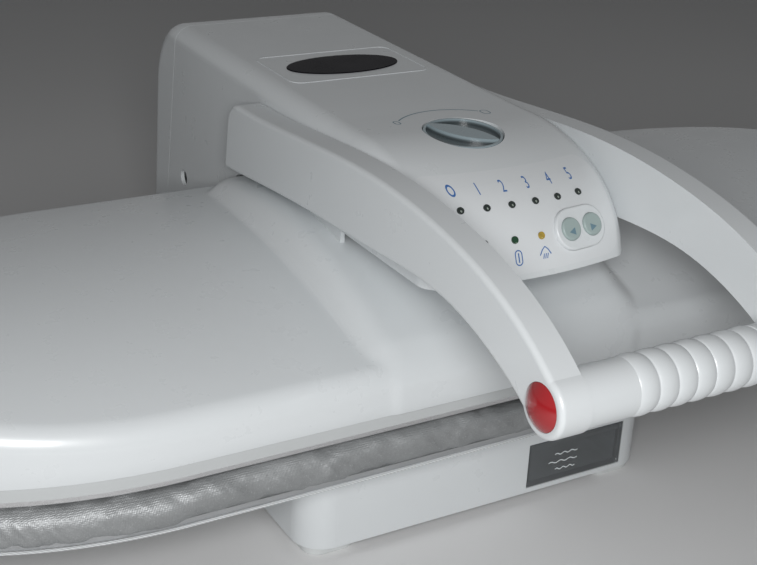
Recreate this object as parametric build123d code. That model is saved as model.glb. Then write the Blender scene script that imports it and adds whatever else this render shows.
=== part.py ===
from build123d import *
import math
import os

# A table-top steam press for ironing clothes, standing on four feet.
# Millimetres. X runs to the press's right, the front is -Y, and the floor is Z = 0.
# The press is symmetrical about X = 0 apart from its tank, pump and hoses.

# Fits between pieces
running_gap = 0.05
slip_gap = 0.3
panel_gap = 0.1
seam_gap = 0.4

# How far a cutter reaches past the face that it opens, and how finely places are compared
past = 1.0
same_place = 0.01

# Feet and base
foot_height = 6.0
foot_side = 30.0
foot_corner = 9.0
base_half_width = 113.0
base_front = -99.0
base_rear = 235.0
base_step = 140.0
base_top = 57.0
plinth_top = 40.0
base_corner = 18.0
base_wall = 2.5
base_edge_radius = 1.5
pan_thickness = 2.0
foot_inset = 4.0
foot_chamfer = 1.0

# Screws of the base and of the covers
screw_radius = 1.6
screw_head_radius = 3.2
screw_head_height = 2.0
screw_depth = 12.0
screw_tip_gap = 1.0
post_radius = 5.0
post_inset = 9.5
front_post_setback = 41.0
middle_post_setback = 40.0
rear_post_setback = 40.0

# Ironing board: tray, foam pad and the padded cover around both
board_half_length = 360.0
board_half_width = 122.5
board_end_length = 174.0
board_middle = -1.5
cover_bottom = 60.0
cover_top = 80.7
cover_thickness = 0.8
hem_width = 14.0
tray_thickness = 3.0
tray_inset = 3.0
tray_foot_inset = 4.0
tray_rear_setback = 34.0
pad_inset = 1.1

# Pressing head: hot plate, insulating frame and the wing-shaped cover
plate_bottom = 81.0
plate_thickness = 4.5
plate_inset = 3.0
plate_chamfer = 1.0
frame_height = 6.5
frame_inset = 1.0
frame_width = 13.0
wing_half_length = 358.0
wing_half_width = 118.5
wing_end_length = 172.0
wing_crown_height = 51.2
wing_crown_y = 37.0
wing_crown_radius = 440.0
wing_edge_radius = 9.0
cover_wall = 2.5
wing_post_radius = 4.0
wing_post_x = 180.0
wing_post_inset = 19.0

# Raised middle of the wing, under the lever arms
hump_half_width = 88.0
hump_front = -121.0
hump_rear = 107.0
hump_corner = 20.0
hump_crown_height = 64.0
hump_crown_y = 25.0
hump_crown_radius = 288.0
hump_edge_radius = 12.0
mechanism_half_width = 52.0
mechanism_front = -31.0

# Control housing and rear cover
housing_half_width = 62.4
housing_wall = 2.5
housing_edge_radius = 11.0
nose_front = -128.0
nose_bottom = 157.0
neck_front = -36.0
neck_depth = 33.5
nose_crown = -45.0
nose_centre = 124.0
nose_sweep = 50.0
nose_rise = 0.2
nose_overlap = 22.0
housing_top = 211.0
tower_top = 215.5
tower_top_y = 203.0
tower_front = 124.0
tower_bottom = 80.0
throat_slope = 14.0
mouth_setback = 20.0
mouth_height = 20.0
mouth_lip = 2.0
press_rear = 252.4
rear_shoulder_inset = 9.4
rear_shoulder_drop = 43.5
seam_top_y = 199.0
seam_slope = 9.7
recess_radius = 5.5
hook_low = 30.0
hook_high = 155.5
hook_height = 12.0
hook_reach = 8.0
hook_length = 20.0
hook_root = 7.0
hook_thickness = 2.0
hook_bite = 0.5

# Hinge between base and head
hinge_y = 189.0
hinge_z = 115.0
pin_radius = 5.0
pin_half_length = 54.0
clip_thickness = 0.9
clip_radius = 8.0
groove_depth = 1.0
pin_chamfer = 0.8
clip_mouth = 5.0
bush_radius = 7.5
frame_end_reach = 10.0
frame_knee_reach = 30.0
frame_knee_rise = 4.0
frame_nose_height = 14.0
frame_ridge_front_y = 52.0
frame_ridge_front_rise = 10.0
frame_ridge_rear_y = 112.0
frame_ridge_rear_rise = 17.0
frame_ear_setback = 12.0
frame_ear_drop = 2.0
frame_ear_inset = 1.0
frame_tie_shift = 2.0
frame_tie_front = 7.0
frame_tie_rear = 11.0
bush_flange_radius = 9.5
bush_flange = 1.2
bush_proud = 1.0
head_plate_x = 46.0
frame_flange_width = 11.0
steel_thickness = 3.0
ear_foot_front = 8.0
ear_foot_rise = 3.0
ear_shoulder_inset = 2.0
ear_shoulder_rear_drop = 6.0
ear_shoulder_front_drop = 2.0
ear_x = 36.0
ear_radius = 15.0
bracket_front = 158.0
bracket_rear = 188.5
bracket_bolt_x = 19.0
bracket_bolt_front = 5.0
bracket_bolt_rear = 6.0
bracket_bolt_extra = 1.0
neck_wall = 2.0
neck_gap = 1.0
neck_top = 86.0
neck_corner = 2.5
spring_wire = 2.5
spring_clearance = 0.4
spring_turns = 6
spring_pitch = 3.0
spring_x = 15.0

# Pressure linkage: shaft and crank of the lever, and the link to the base
lever_y = 72.0
lever_z = 170.0
shaft_radius = 5.0
crank_y = 123.3
crank_z = 177.1
crank_thickness = 8.0
crank_hub_radius = 9.0
crank_eye_radius = 9.0
crank_eye_gap = 2.2
link_y = 178.0
link_z = 98.0
link_pin_radius = 3.0
link_thickness = 4.0
link_half_width = 4.5
link_side_gap = 0.5
link_lug_radius = 7.0
link_washer = 0.5
lug_foot_front = 14.0
lug_foot_rear = 9.0
lug_taper = 0.5

# Lever arms, handle and steam buttons
arm_inner_x = 63.2
arm_thickness = 15.8
arm_edge_radius = 2.5
arm_pocket_depth = 10.8
arm_rear_high_radius = 14.0
arm_rear_low_radius = 3.0
handle_y = -238.0
handle_z = 156.4
handle_radius = 13.2
handle_rib_height = 0.6
handle_rib_width = 4.0
handle_rib_pitch = 10.5
handle_rib_count = 7
handle_rib_slope = 0.48
arm_end_radius = 14.4
grip_tube_radius = 8.0
grip_tube_wall = 1.5
grip_tube_seat = 1.5
button_bore_radius = 10.9
button_bore_depth = 12.5
button_gap = 0.2
button_thickness = 4.5
button_dome = 4.0
button_stem_radius = 3.5
button_stem_length = 2.5
button_switch_side = 5.95
button_travel = 3.0
button_stop_gap = 0.3
button_spring_wire = 0.9
button_spring_radius = 6.6
button_spring_turns = 2
button_spring_end_gap = 0.2
wire_hole_radius = 2.0
wire_hole_setback = 5.0

# Controls on the nose and on top
panel_thickness = 1.2
panel_half_width = 55.0
panel_low = 160.0
panel_high = 202.0
panel_corner = 9.0
led_radius = 1.9
led_length = 6.0
led_proud = 0.5
upper_row_z = 190.0
upper_row_pitch = 14.4
upper_row_count = 6
lower_row_z = 176.0
dark_led_x = -29.0
green_led_x = -12.0
amber_led_x = 4.0
keypad_x = 29.0
keypad_length = 33.0
keypad_height = 22.0
keypad_proud = 1.6
keypad_edge_radius = 1.0
keypad_post_radius = 1.8
keypad_post_inset = 2.5
key_radius = 6.0
key_pitch = 14.6
key_proud = 1.4
key_stem_radius = 2.0
key_stem_end = 2.6
key_travel = 0.8
key_gap = 0.15
key_sink = 1.5
key_edge_radius = 1.0
key_board_depth = 7.4
key_board_thickness = 1.2
key_board_end_inset = 2.0
key_board_side_inset = 0.5
key_board_corner = 3.0
key_switch_side = 6.0
dial_y = -50.0
dial_radius = 21.5
dial_lean = 4.2
dial_seat_depth = 5.2
dial_side_gap = 0.6
dial_thickness = 3.6
dial_edge_radius = 0.5
dial_rim = 1.5
dial_scoop_depth = 2.2
dial_grip_rise = 0.6
dial_grip_radius = 34.0
dial_grip_half_width = 7.0
dial_grip_turn = 38.0
dial_hub_radius = 5.0
dial_hub_length = 4.6
pot_radius = 8.5
pot_shaft_radius = 3.0
pot_shaft_length = 5.0
pot_gap = 1.0
circuit_z = 193.0
circuit_thickness = 1.6
circuit_half_width = 42.0
circuit_front = -92.0
circuit_rear = -28.0
standoff_radius = 3.0
standoff_inset = 5.0
badge_y = 85.0
badge_half_length = 37.0
badge_half_width = 18.0
badge_thickness = 1.5
badge_proud = 0.6

# Steam works on the hot plate
plate_boss_radius = 5.0
plate_boss_x = 40.0
plate_boss_front = -36.0
plate_boss_rear = 92.0
frame_floor = 94.0
heater_radius = 3.2
heater_half_length = 295.0
heater_half_width = 46.0
heater_corner = 30.0
heater_end_x = 42.0
chamber_half_width = 36.0
chamber_front = -22.0
chamber_rear = 38.0
chamber_height = 7.5
chamber_corner = 8.0
chamber_wall = 3.0
chamber_roof = 2.0
chamber_port_setback = 15.0
thermostat_x = -75.0
thermostat_radius = 9.0
thermostat_height = 11.0
thermostat_step = 4.0
thermostat_neck_inset = 3.0
thermostat_tab_half_length = 8.0
thermostat_tab_half_width = 1.5
thermostat_tab_thickness = 1.0
thermostat_tab_drop = 4.5
plate_clearance = 0.1

# Water tank and its bay
tank_left = 28.0
tank_width = 66.0
tank_length = 120.0
tank_floor = 9.5
tank_height = 22.0
tank_front_height = 27.0
tank_front_thickness = 2.5
tank_wall = 2.0
tank_gap = 0.6
tank_corner = 4.0
tank_front_fit = 0.5
lid_thickness = 2.0
filler_radius = 9.0
filler_setback = 45.0
cap_radius = 12.0
cap_thickness = 2.4
cap_chamfer = 0.6
cap_plug_reach = 2.0
valve_z = 17.0
valve_radius = 4.0
valve_reach = 8.0
valve_inner_reach = 2.0
seat_wall = 1.5
seat_height = 10.0
seat_boss_radius = 6.5
seat_boss_length = 11.0
seat_boss_end = 2.0

# Pump, hoses and electrics
hose_radius = 4.0
hose_bore = 2.5
nipple_length = 6.0
pump_y = 66.0
pump_z = 26.0
pump_right = -14.0
pump_end_radius = 8.0
pump_end_length = 16.0
coil_length = 32.0
coil_side = 28.0
coil_edge_radius = 2.0
mount_inset = 3.0
mount_length = 9.0
mount_width = 22.0
hose_x = -30.0
hose_y = 164.0
hose_split_z = 92.0
hose_bend_radius = 14.0
hose_run_z = 120.0
clip_tab_z = 82.0
clip_tab_thickness = 2.0
clip_tab_front = 5.0
clip_tab_rear = 8.0
clip_tab_right = 8.0
power_board_x = -68.0
power_board_y = -48.0
power_board_length = 56.0
power_board_width = 46.0
power_board_height = 10.0
relay_length = 19.0
relay_left = 16.0
relay_half_width = 8.0
relay_height = 15.0
terminal_left = 8.0
terminal_length = 10.0
terminal_half_width = 14.0
terminal_height = 11.0
inlet_x = -70.0
inlet_z = 22.0
inlet_radius = 7.0
inlet_bore = 3.6
inlet_flange_radius = 9.0
inlet_flange = 2.5
inlet_length = 8.0

# Places worked out from the sizes above
pan_top = foot_height + pan_thickness
tray_bottom = base_top
tray_top = cover_bottom + cover_thickness + slip_gap + tray_thickness
plate_top = plate_bottom + plate_thickness
skirt_bottom = plate_top + frame_height
base_middle = (base_front + base_rear) / 2
tank_right = tank_left + tank_width
tank_rear = base_front + tank_length
arm_outer_x = arm_inner_x + arm_thickness
button_floor_x = arm_outer_x - button_bore_depth
pump_left = pump_right - 2 * pump_end_length - coil_length
screw_hole_radius = screw_radius + running_gap

parts = {}


def block(x_from, x_to, y_from, y_to, z_from, z_to):
    """A rectangular solid between two corners."""
    size = Box(x_to - x_from, y_to - y_from, z_to - z_from)
    return Pos((x_from + x_to) / 2, (y_from + y_to) / 2, (z_from + z_to) / 2) * size


def along_x(sketch, x_from, x_to):
    """A sketch drawn in Y and Z, extruded from one X to another."""
    return Pos(x_from, 0, 0) * extrude(Plane.YZ * sketch, amount=x_to - x_from)


def along_y(sketch, x, z, y_from, y_to):
    """A sketch drawn in X and Z, extruded from one Y to another."""
    plane = Plane(origin=(x, y_from, z), x_dir=(1, 0, 0), z_dir=(0, 1, 0))
    return extrude(plane * sketch, amount=y_to - y_from)


def rod_x(radius, x_from, x_to, y, z):
    """A round bar along X."""
    return along_x(Pos(y, z) * Circle(radius), x_from, x_to)


def rod_z(radius, x, y, z_from, z_to):
    """A round bar along Z."""
    return Pos(x, y, z_from) * extrude(Circle(radius), amount=z_to - z_from)


def mirrored(solid):
    """The same solid on the other side of the press."""
    return mirror(solid, about=Plane.YZ)


def both_sides(solid):
    """The solid and its mirror image."""
    return [solid, mirrored(solid)]


def joined(solids):
    """One fused solid."""
    total = solids[0]
    for other in solids[1:]:
        total = total + other
    return total


def minus(solid, cutters):
    """A solid with every cutter taken out of it."""
    for cutter in cutters:
        solid = solid - cutter
    return solid


def group(solids):
    """Separate solids that share one node."""
    return Compound(children=list(solids))


def oval(half_length, half_width, end_length, inset, height):
    """A long outline with straight sides and elliptical ends."""
    straight = half_length - end_length
    end_x = end_length - inset
    end_y = half_width - inset
    lines = [
        Line((-straight, -end_y), (straight, -end_y)),
        EllipticalCenterArc((straight, 0), end_x, end_y, -90, arc_size=90),
        EllipticalCenterArc((straight, 0), end_x, end_y, 0, arc_size=90),
        Line((straight, end_y), (-straight, end_y)),
        EllipticalCenterArc((-straight, 0), end_x, end_y, 90, arc_size=90),
        EllipticalCenterArc((-straight, 0), end_x, end_y, 180, arc_size=90),
    ]
    return Pos(0, board_middle, height) * make_face(Wire(lines))


def board_outline(inset, height):
    return oval(board_half_length, board_half_width, board_end_length, inset, height)


def wing_outline(inset, height):
    return oval(wing_half_length, wing_half_width, wing_end_length, inset, height)


def screw(length):
    """A pan-head screw standing on Z = 0, its shank pointing up."""
    head = rod_z(screw_head_radius, 0, 0, -screw_head_height, 0)
    return head + rod_z(screw_radius, 0, 0, 0, length)


def biarc(start, start_tangent, end, end_tangent):
    """Two arcs that join two points and meet in one tangent."""
    chord = end - start
    both = start_tangent + end_tangent
    square = both.dot(both) - 4
    linear = -2 * chord.dot(both)
    steady = chord.dot(chord)
    reach = (-linear - math.sqrt(linear * linear - 4 * square * steady)) / (2 * square)
    first_corner = start + start_tangent * reach
    last_corner = end - end_tangent * reach
    middle = (first_corner + last_corner) * 0.5
    middle_tangent = (last_corner - first_corner).normalized()
    first = TangentArc(start, middle, tangent=start_tangent)
    second = TangentArc(middle, end, tangent=middle_tangent)
    return [first, second]


def coil_x(radius, wire, pitch, turns, x_start, y, z):
    """A wire wound round an axis along X, in quarter-turn biarcs."""
    def place(quarter):
        angle = quarter * math.pi / 2
        across = radius * math.cos(angle)
        upwards = radius * math.sin(angle)
        return Vector(x_start + pitch * quarter / 4, y + across, z + upwards)

    def heading(quarter):
        angle = quarter * math.pi / 2
        lead = pitch / (2 * math.pi * radius)
        return Vector(lead, -math.sin(angle), math.cos(angle)).normalized()

    edges = []
    for quarter in range(4 * turns):
        edges += biarc(place(quarter), heading(quarter), place(quarter + 1), heading(quarter + 1))
    path = Wire(edges)
    section = Plane(origin=place(0), z_dir=heading(0)) * Circle(wire / 2)
    return sweep(section, path=path)


def hose(points, radii):
    """A hollow hose along straight runs and tangent arcs."""
    path = FilletPolyline(*points, radius=radii)
    start = Vector(*points[0])
    section = Plane(origin=start, z_dir=Vector(*points[1]) - start)
    ring = section * (Circle(hose_radius) - Circle(hose_bore + running_gap))
    tube = sweep(ring, path=path)
    area = math.pi * (hose_radius ** 2 - (hose_bore + running_gap) ** 2)
    print("hose", round(path.length, 1), "mm, radii", radii, "volume ratio",
          round(tube.volume / (area * path.length), 4))
    return tube


# Outside form of the housing: the nose is turned about an upright axis, so it bows forward
nose_lean = Vector(nose_rise, 1.0).normalized()
nose_edges = biarc(Vector(nose_front, nose_bottom), nose_lean,
                   Vector(nose_crown, housing_top), Vector(1, 0))
nose_curve = Wire(nose_edges)
nose_axis = Axis((0, nose_centre, 0), (0, 0, 1))
nose_side_y = nose_centre - math.sqrt((nose_centre - nose_crown) ** 2 - housing_half_width ** 2)
nose_back_y = nose_side_y + nose_overlap
neck_bottom = skirt_bottom + hump_crown_height - neck_depth


def housing_profile():
    """The housing and rear cover seen from the side, in Y and Z."""
    shoulder_y = press_rear - rear_shoulder_inset
    shoulder_z = tower_top - rear_shoulder_drop
    rear_lean = (Vector(press_rear, tower_bottom) - Vector(shoulder_y, shoulder_z)).normalized()
    rear_edges = biarc(Vector(tower_top_y, tower_top), Vector(1, 0),
                       Vector(shoulder_y, shoulder_z), rear_lean)
    return make_face(nose_edges + rear_edges + [
        Line((nose_crown, housing_top), (nose_back_y, housing_top)),
        Line((nose_back_y, housing_top), (tower_top_y, tower_top)),
        Line((shoulder_y, shoulder_z), (press_rear, tower_bottom)),
        Line((press_rear, tower_bottom), (tower_front, tower_bottom)),
        Line((tower_front, tower_bottom), (tower_front - throat_slope, neck_bottom)),
        Line((tower_front - throat_slope, neck_bottom), (neck_front, neck_bottom)),
        Line((neck_front, neck_bottom), (neck_front, nose_bottom)),
        Line((neck_front, nose_bottom), (nose_front, nose_bottom)),
    ])


def housing_form(inset):
    """The solid outside form of housing and rear cover, or the space inside their wall."""
    profile = housing_profile()
    if inset:
        profile = offset(profile, amount=-inset, kind=Kind.INTERSECTION)
    half_width = housing_half_width - inset
    far = 400.0
    front_zone = Pos((nose_back_y - far) / 2, 0) * Rectangle(nose_back_y + far, 2 * far)
    rear_zone = Pos((nose_side_y + far) / 2, 0) * Rectangle(far - nose_side_y, 2 * far)
    turned = revolve(Plane.YZ * (profile & front_zone), axis=nose_axis, revolution_arc=nose_sweep)
    turned = Pos(0, nose_centre, 0) * Rot(0, 0, -nose_sweep / 2) * Pos(0, -nose_centre, 0) * turned
    turned = turned & block(-half_width, half_width, -far, far, 0, far)
    straight = along_x(profile & rear_zone, -half_width, half_width)
    whole = turned + straight
    edges = [
        edge for edge in whole.edges()
        if abs(abs(edge.center().X) - half_width) < same_place
        and edge.center().Z > nose_bottom + inset + 2 * past
    ]
    return whole, edges


def nose_place(x, height):
    """The plane that touches the nose at a given X and height, facing out."""
    low = 0.0
    high = 1.0
    for _ in range(40):
        middle = (low + high) / 2
        if (nose_curve @ middle).Y < height:
            low = middle
        else:
            high = middle
    point = nose_curve @ low
    tangent = nose_curve % low
    radius = nose_centre - point.X
    angle = math.asin(x / radius)
    place = Vector(x, nose_centre - radius * math.cos(angle), point.Y)
    sideways = Vector(math.cos(angle), math.sin(angle), 0)
    outwards = Vector(math.sin(angle) * tangent.Y, -math.cos(angle) * tangent.Y, tangent.X)
    return Plane(origin=place, x_dir=sideways, z_dir=outwards)


def top_height(y):
    """Height of the housing's top at a given Y behind the nose."""
    rise = (tower_top - housing_top) * (y - nose_back_y) / (tower_top_y - nose_back_y)
    return housing_top + max(rise, 0)


# Base: shell, pan, feet and screws
def base_plan(inset):
    width = 2 * (base_half_width - inset)
    length = base_rear - base_front - 2 * inset
    return Pos(0, base_middle) * RectangleRounded(width, length, base_corner - inset)


def base_form(inset, floor):
    plan = base_plan(inset)
    far = base_half_width + past
    low = Pos(0, 0, floor) * extrude(plan, amount=plinth_top - inset - floor)
    high = Pos(0, 0, floor) * extrude(plan, amount=base_top - inset - floor)
    return low + (high & block(-far, far, base_front - past, base_step - inset, 0, base_top))


post_x = base_half_width - post_inset
front_post_y = base_front + front_post_setback
middle_post_y = base_step - middle_post_setback
rear_post_y = base_rear - rear_post_setback
pan_screw_y = [front_post_y, rear_post_y]
tray_screw_y = [front_post_y, middle_post_y]
window_left = tank_left - tank_gap
window_right = tank_right + tank_gap
window_low = tank_floor - tank_gap
window_high = tank_floor + tank_front_height + tank_gap
tray_screw_top = tray_top - screw_head_height


def make_base_shell():
    shell = base_form(0, foot_height)
    rims = [edge for edge in shell.edges() if abs(edge.center().Z - plinth_top) < same_place]
    shell = fillet(rims, base_edge_radius)
    shell = shell - base_form(base_wall, foot_height - past)
    roof = base_top - base_wall
    low_roof = plinth_top - base_wall
    posts = [
        rod_z(post_radius, post_x, front_post_y, pan_top, roof),
        rod_z(post_radius, post_x, middle_post_y, roof - 2 * screw_depth, roof),
        rod_z(post_radius, post_x, rear_post_y, pan_top, low_roof),
    ]
    for x, y in bracket_bolt_places:
        posts.append(rod_z(post_radius, x, y, low_roof - screw_depth, low_roof))
    holes = [
        rod_z(screw_hole_radius, post_x, y, foot_height, pan_top + screw_depth) for y in pan_screw_y
    ]
    for y in tray_screw_y:
        holes.append(rod_z(screw_hole_radius, post_x, y, base_top - screw_depth, base_top + past))
    for x, y in bracket_bolt_places:
        holes.append(rod_z(screw_hole_radius, x, y, plinth_top - screw_depth, plinth_top + past))
    for post in posts:
        shell = shell + post + mirrored(post)
    for hole in holes:
        shell = shell - hole - mirrored(hole)
    window = block(window_left, window_right, base_front - past, base_front + base_wall + past,
                   window_low, window_high)
    inlet = along_y(Circle(inlet_radius + running_gap), inlet_x, inlet_z,
                    base_rear - base_wall - past, base_rear + past)
    hose_hole = rod_z(hose_radius + slip_gap, hose_x, hose_y, low_roof - past, plinth_top + past)
    return minus(shell, [window, inlet, hose_hole])


def make_bottom_pan():
    plan = base_plan(base_wall + slip_gap)
    pan = Pos(0, 0, foot_height) * extrude(plan, amount=pan_thickness)
    for y in pan_screw_y:
        hole = rod_z(screw_hole_radius, post_x, y, foot_height - past, pan_top + past)
        pan = pan - hole - mirrored(hole)
    for x, y in power_board_posts:
        pan = pan + rod_z(standoff_radius, x, y, pan_top, pan_top + power_board_height)
    return pan


def make_corner_feet():
    feet = []
    foot_x = base_half_width - foot_inset - foot_side / 2
    for y in (base_front + foot_inset + foot_side / 2, base_rear - foot_inset - foot_side / 2):
        foot = extrude(RectangleRounded(foot_side, foot_side, foot_corner), amount=foot_height)
        foot = chamfer(foot.edges().group_by(Axis.Z)[0], foot_chamfer)
        feet += both_sides(Pos(foot_x, y, 0) * foot)
    return group(feet)


def make_base_screws():
    screws = []
    for y in pan_screw_y:
        screws += both_sides(Pos(post_x, y, foot_height) * screw(screw_depth))
    tray_screw = Rot(180, 0, 0) * screw(tray_screw_top - base_top + screw_depth - screw_tip_gap)
    for y in tray_screw_y:
        screws += both_sides(Pos(post_x, y, tray_screw_top) * tray_screw)
    return group(screws)


# Ironing board: tray, pad and cover
cover_profile = [
    (cover_bottom, 2.0), (cover_bottom + 2.5, 0.3), (cover_bottom + 7.0, 0.0),
    (cover_bottom + 13.0, 0.3), (cover_top - 3.2, 1.6), (cover_top - 0.8, 4.5), (cover_top, 8.0),
]
cover_centre = (cover_bottom + cover_top) / 2
cover_half = (cover_top - cover_bottom) / 2


def cushion(profile, inset, shrink):
    """A crowned cushion lofted through board outlines, drawn in by an inset."""
    sections = []
    for height, drawn_in in profile:
        level = cover_centre + (height - cover_centre) * (1 - shrink / cover_half)
        sections.append(board_outline(drawn_in + inset, level))
    return loft(sections)


def make_board_tray():
    top = tray_top - tray_thickness
    rim = extrude(board_outline(tray_inset, top), amount=tray_thickness)
    foot = block(tray_foot_inset - base_half_width, base_half_width - tray_foot_inset,
                 base_front + tray_foot_inset, base_step - tray_rear_setback, tray_bottom, top)
    tray = rim + foot
    for y in tray_screw_y:
        hole = rod_z(screw_hole_radius, post_x, y, tray_bottom - past, tray_top)
        seat = rod_z(screw_head_radius + slip_gap, post_x, y, tray_screw_top, tray_top + past)
        tray = minus(tray, both_sides(hole) + both_sides(seat))
    return tray


def make_board_pad():
    pad_bottom = tray_top + slip_gap
    levels = [(height, drawn_in) for height, drawn_in in cover_profile if height > pad_bottom]
    pad = cushion([(pad_bottom, 0.1)] + levels, pad_inset, pad_inset)
    below = block(-board_half_length, board_half_length, -board_half_length, board_half_length,
                  0, pad_bottom)
    return pad - below


def make_board_cover():
    outside = cushion(cover_profile, 0, 0)
    inside = cushion(cover_profile, cover_thickness, cover_thickness)
    mouth = Pos(0, 0, -past) * extrude(board_outline(hem_width, cover_bottom), amount=2 * past)
    return outside - inside - mouth


# Pressing head
def make_pressing_plate():
    plate = extrude(wing_outline(plate_inset, plate_bottom), amount=plate_thickness)
    plate = chamfer(plate.edges().group_by(Axis.Z)[0], plate_chamfer)
    for y in (plate_boss_front, plate_boss_rear):
        boss = rod_z(plate_boss_radius, plate_boss_x, y, plate_top, frame_floor)
        hole = rod_z(screw_hole_radius, plate_boss_x, y, plate_top, frame_floor + past)
        plate = plate + boss + mirrored(boss) - hole - mirrored(hole)
    return plate


wing_post_y = wing_half_width - wing_post_inset
wing_posts = [(wing_post_x, board_middle - wing_post_y), (wing_post_x, board_middle + wing_post_y)]


def make_insulating_frame():
    ring = extrude(wing_outline(frame_inset, plate_top), amount=frame_height)
    ring = ring - extrude(wing_outline(frame_inset + frame_width, plate_top - past),
                          amount=frame_height + 2 * past)
    for x, y in wing_posts:
        lug = rod_z(2 * wing_post_radius, x, y, plate_top, skirt_bottom)
        hole = rod_z(screw_hole_radius, x, y, plate_top - past, skirt_bottom + past)
        seat = rod_z(screw_head_radius + slip_gap, x, y, plate_top - past, plate_top + screw_head_height)
        ring = ring + lug + mirrored(lug)
        ring = minus(ring, both_sides(hole) + both_sides(seat))
    return ring


def crowned(plan, floor, crown_height, crown_y, crown_radius, edge_radius):
    """An upright form over a plan, cut off by a top that curves along Y, with a rounded edge."""
    top = skirt_bottom + crown_height
    slab = extrude(plan, amount=top - floor)
    axle = Pos(0, crown_y, top - crown_radius) * Rot(0, 90, 0)
    slab = slab & (axle * Cylinder(crown_radius, 3 * wing_half_length))
    edges = [edge for edge in slab.edges() if edge.bounding_box().min.Z > floor + past]
    return fillet(edges, edge_radius)


def wing_form(inset, floor):
    """The wing: a crowned form that is taller at the rear than at the front."""
    return crowned(wing_outline(inset, floor), floor, wing_crown_height - inset, wing_crown_y,
                   wing_crown_radius - inset, wing_edge_radius - inset)


def hump_form(inset, floor):
    """The raised middle, which lies just under the lever arms."""
    plan = Pos(0, (hump_front + hump_rear) / 2, floor) * RectangleRounded(
        2 * (hump_half_width - inset), hump_rear - hump_front - 2 * inset, hump_corner - inset)
    return crowned(plan, floor, hump_crown_height - inset, hump_crown_y,
                   hump_crown_radius - inset, hump_edge_radius - inset)


cover_solid = wing_form(0, skirt_bottom) + hump_form(0, skirt_bottom)


def make_upper_cover():
    floor = skirt_bottom - 1
    shell = cover_solid - wing_form(cover_wall, floor) - hump_form(cover_wall, floor)
    opening = block(-mechanism_half_width, mechanism_half_width, mechanism_front,
                    tower_front, skirt_bottom - past, housing_top)
    shell = shell - opening
    for x, y in wing_posts:
        post = rod_z(wing_post_radius, x, y, skirt_bottom, skirt_bottom + wing_crown_height)
        post = post & wing_form(cover_wall / 2, floor)
        hole = rod_z(screw_hole_radius, x, y, floor, skirt_bottom + screw_depth)
        shell = minus(joined([shell] + both_sides(post)), both_sides(hole))
    return shell


# Control housing and rear cover
def housing_shell():
    whole, edges = housing_form(0)
    whole = fillet(edges, housing_edge_radius)
    inside, inside_edges = housing_form(housing_wall)
    inside = fillet(inside_edges, housing_edge_radius - housing_wall)
    half_width = housing_half_width - housing_wall
    front = tower_front - mouth_setback
    mouth = block(-half_width, half_width, front, press_rear - housing_wall - mouth_lip,
                  tower_bottom - past, tower_bottom + mouth_height)
    passage = block(-half_width, half_width, front, tower_front + 2 * housing_wall,
                    tower_bottom - past, neck_bottom + 2 * housing_wall)
    return whole, inside, mouth + passage


whole_housing, inside_housing, housing_mouth = housing_shell()


def rear_zone(shift):
    """Everything behind the slanted seam of the rear cover."""
    lean = math.tan(math.radians(seam_slope))
    low_y = seam_top_y + lean * (tower_top - tower_bottom + past)
    high_y = seam_top_y - lean * past
    far = press_rear + past
    zone = make_face(Polyline(
        (high_y + shift, tower_top + past), (low_y + shift, tower_bottom - past),
        (far, tower_bottom - past), (far, tower_top + past), close=True))
    return along_x(zone, -housing_half_width - past, housing_half_width + past)


def upper_row():
    """Plane of each small lamp of the upper row, from left to right."""
    half = (upper_row_count - 1) / 2
    return [nose_place((index - half) * upper_row_pitch, upper_row_z)
            for index in range(upper_row_count)]


def lamp(place, radius, extra):
    """A lamp's body, from inside the panel to just outside it."""
    return place * Pos(0, 0, -led_length) * extrude(Circle(radius), amount=led_length + led_proud + extra)


upper_places = upper_row()
dark_place = nose_place(dark_led_x, lower_row_z)
green_place = nose_place(green_led_x, lower_row_z)
amber_place = nose_place(amber_led_x, lower_row_z)
keypad_place = nose_place(keypad_x, lower_row_z)
keypad_oval = SlotOverall(keypad_length, keypad_height)


def keypad_cutter():
    grown = offset(keypad_oval, amount=panel_gap)
    return keypad_place * Pos(0, 0, -key_board_depth) * extrude(grown, amount=2 * key_board_depth)


def control_cutters():
    holes = [lamp(place, led_radius + panel_gap, led_length)
             for place in upper_places + [dark_place, green_place, amber_place]]
    return holes + [keypad_cutter()]


def make_control_panel():
    deeper, edges = housing_form(panel_thickness)
    deeper = fillet(edges, housing_edge_radius - panel_thickness)
    window = along_y(RectangleRounded(2 * panel_half_width, panel_high - panel_low, panel_corner),
                     0, (panel_low + panel_high) / 2, nose_front - past, nose_crown)
    return (whole_housing & window) - deeper


panel_skin = make_control_panel()


dial_place = Pos(0, dial_y, housing_top - dial_seat_depth) * Rot(dial_lean, 0, 0)
far_above = 4 * dial_seat_depth


def dial_rod(radius, low, high):
    """A round bar on the dial's leaning axis, measured up from the dial's seat."""
    return dial_place * rod_z(radius, 0, 0, low, high)


def board_standoffs():
    posts = []
    for y in (circuit_front + standoff_inset, circuit_rear - standoff_inset):
        x = circuit_half_width - standoff_inset
        posts += both_sides(rod_z(standoff_radius, x, y, circuit_z + circuit_thickness, housing_top))
    return [post & whole_housing for post in posts]


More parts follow.
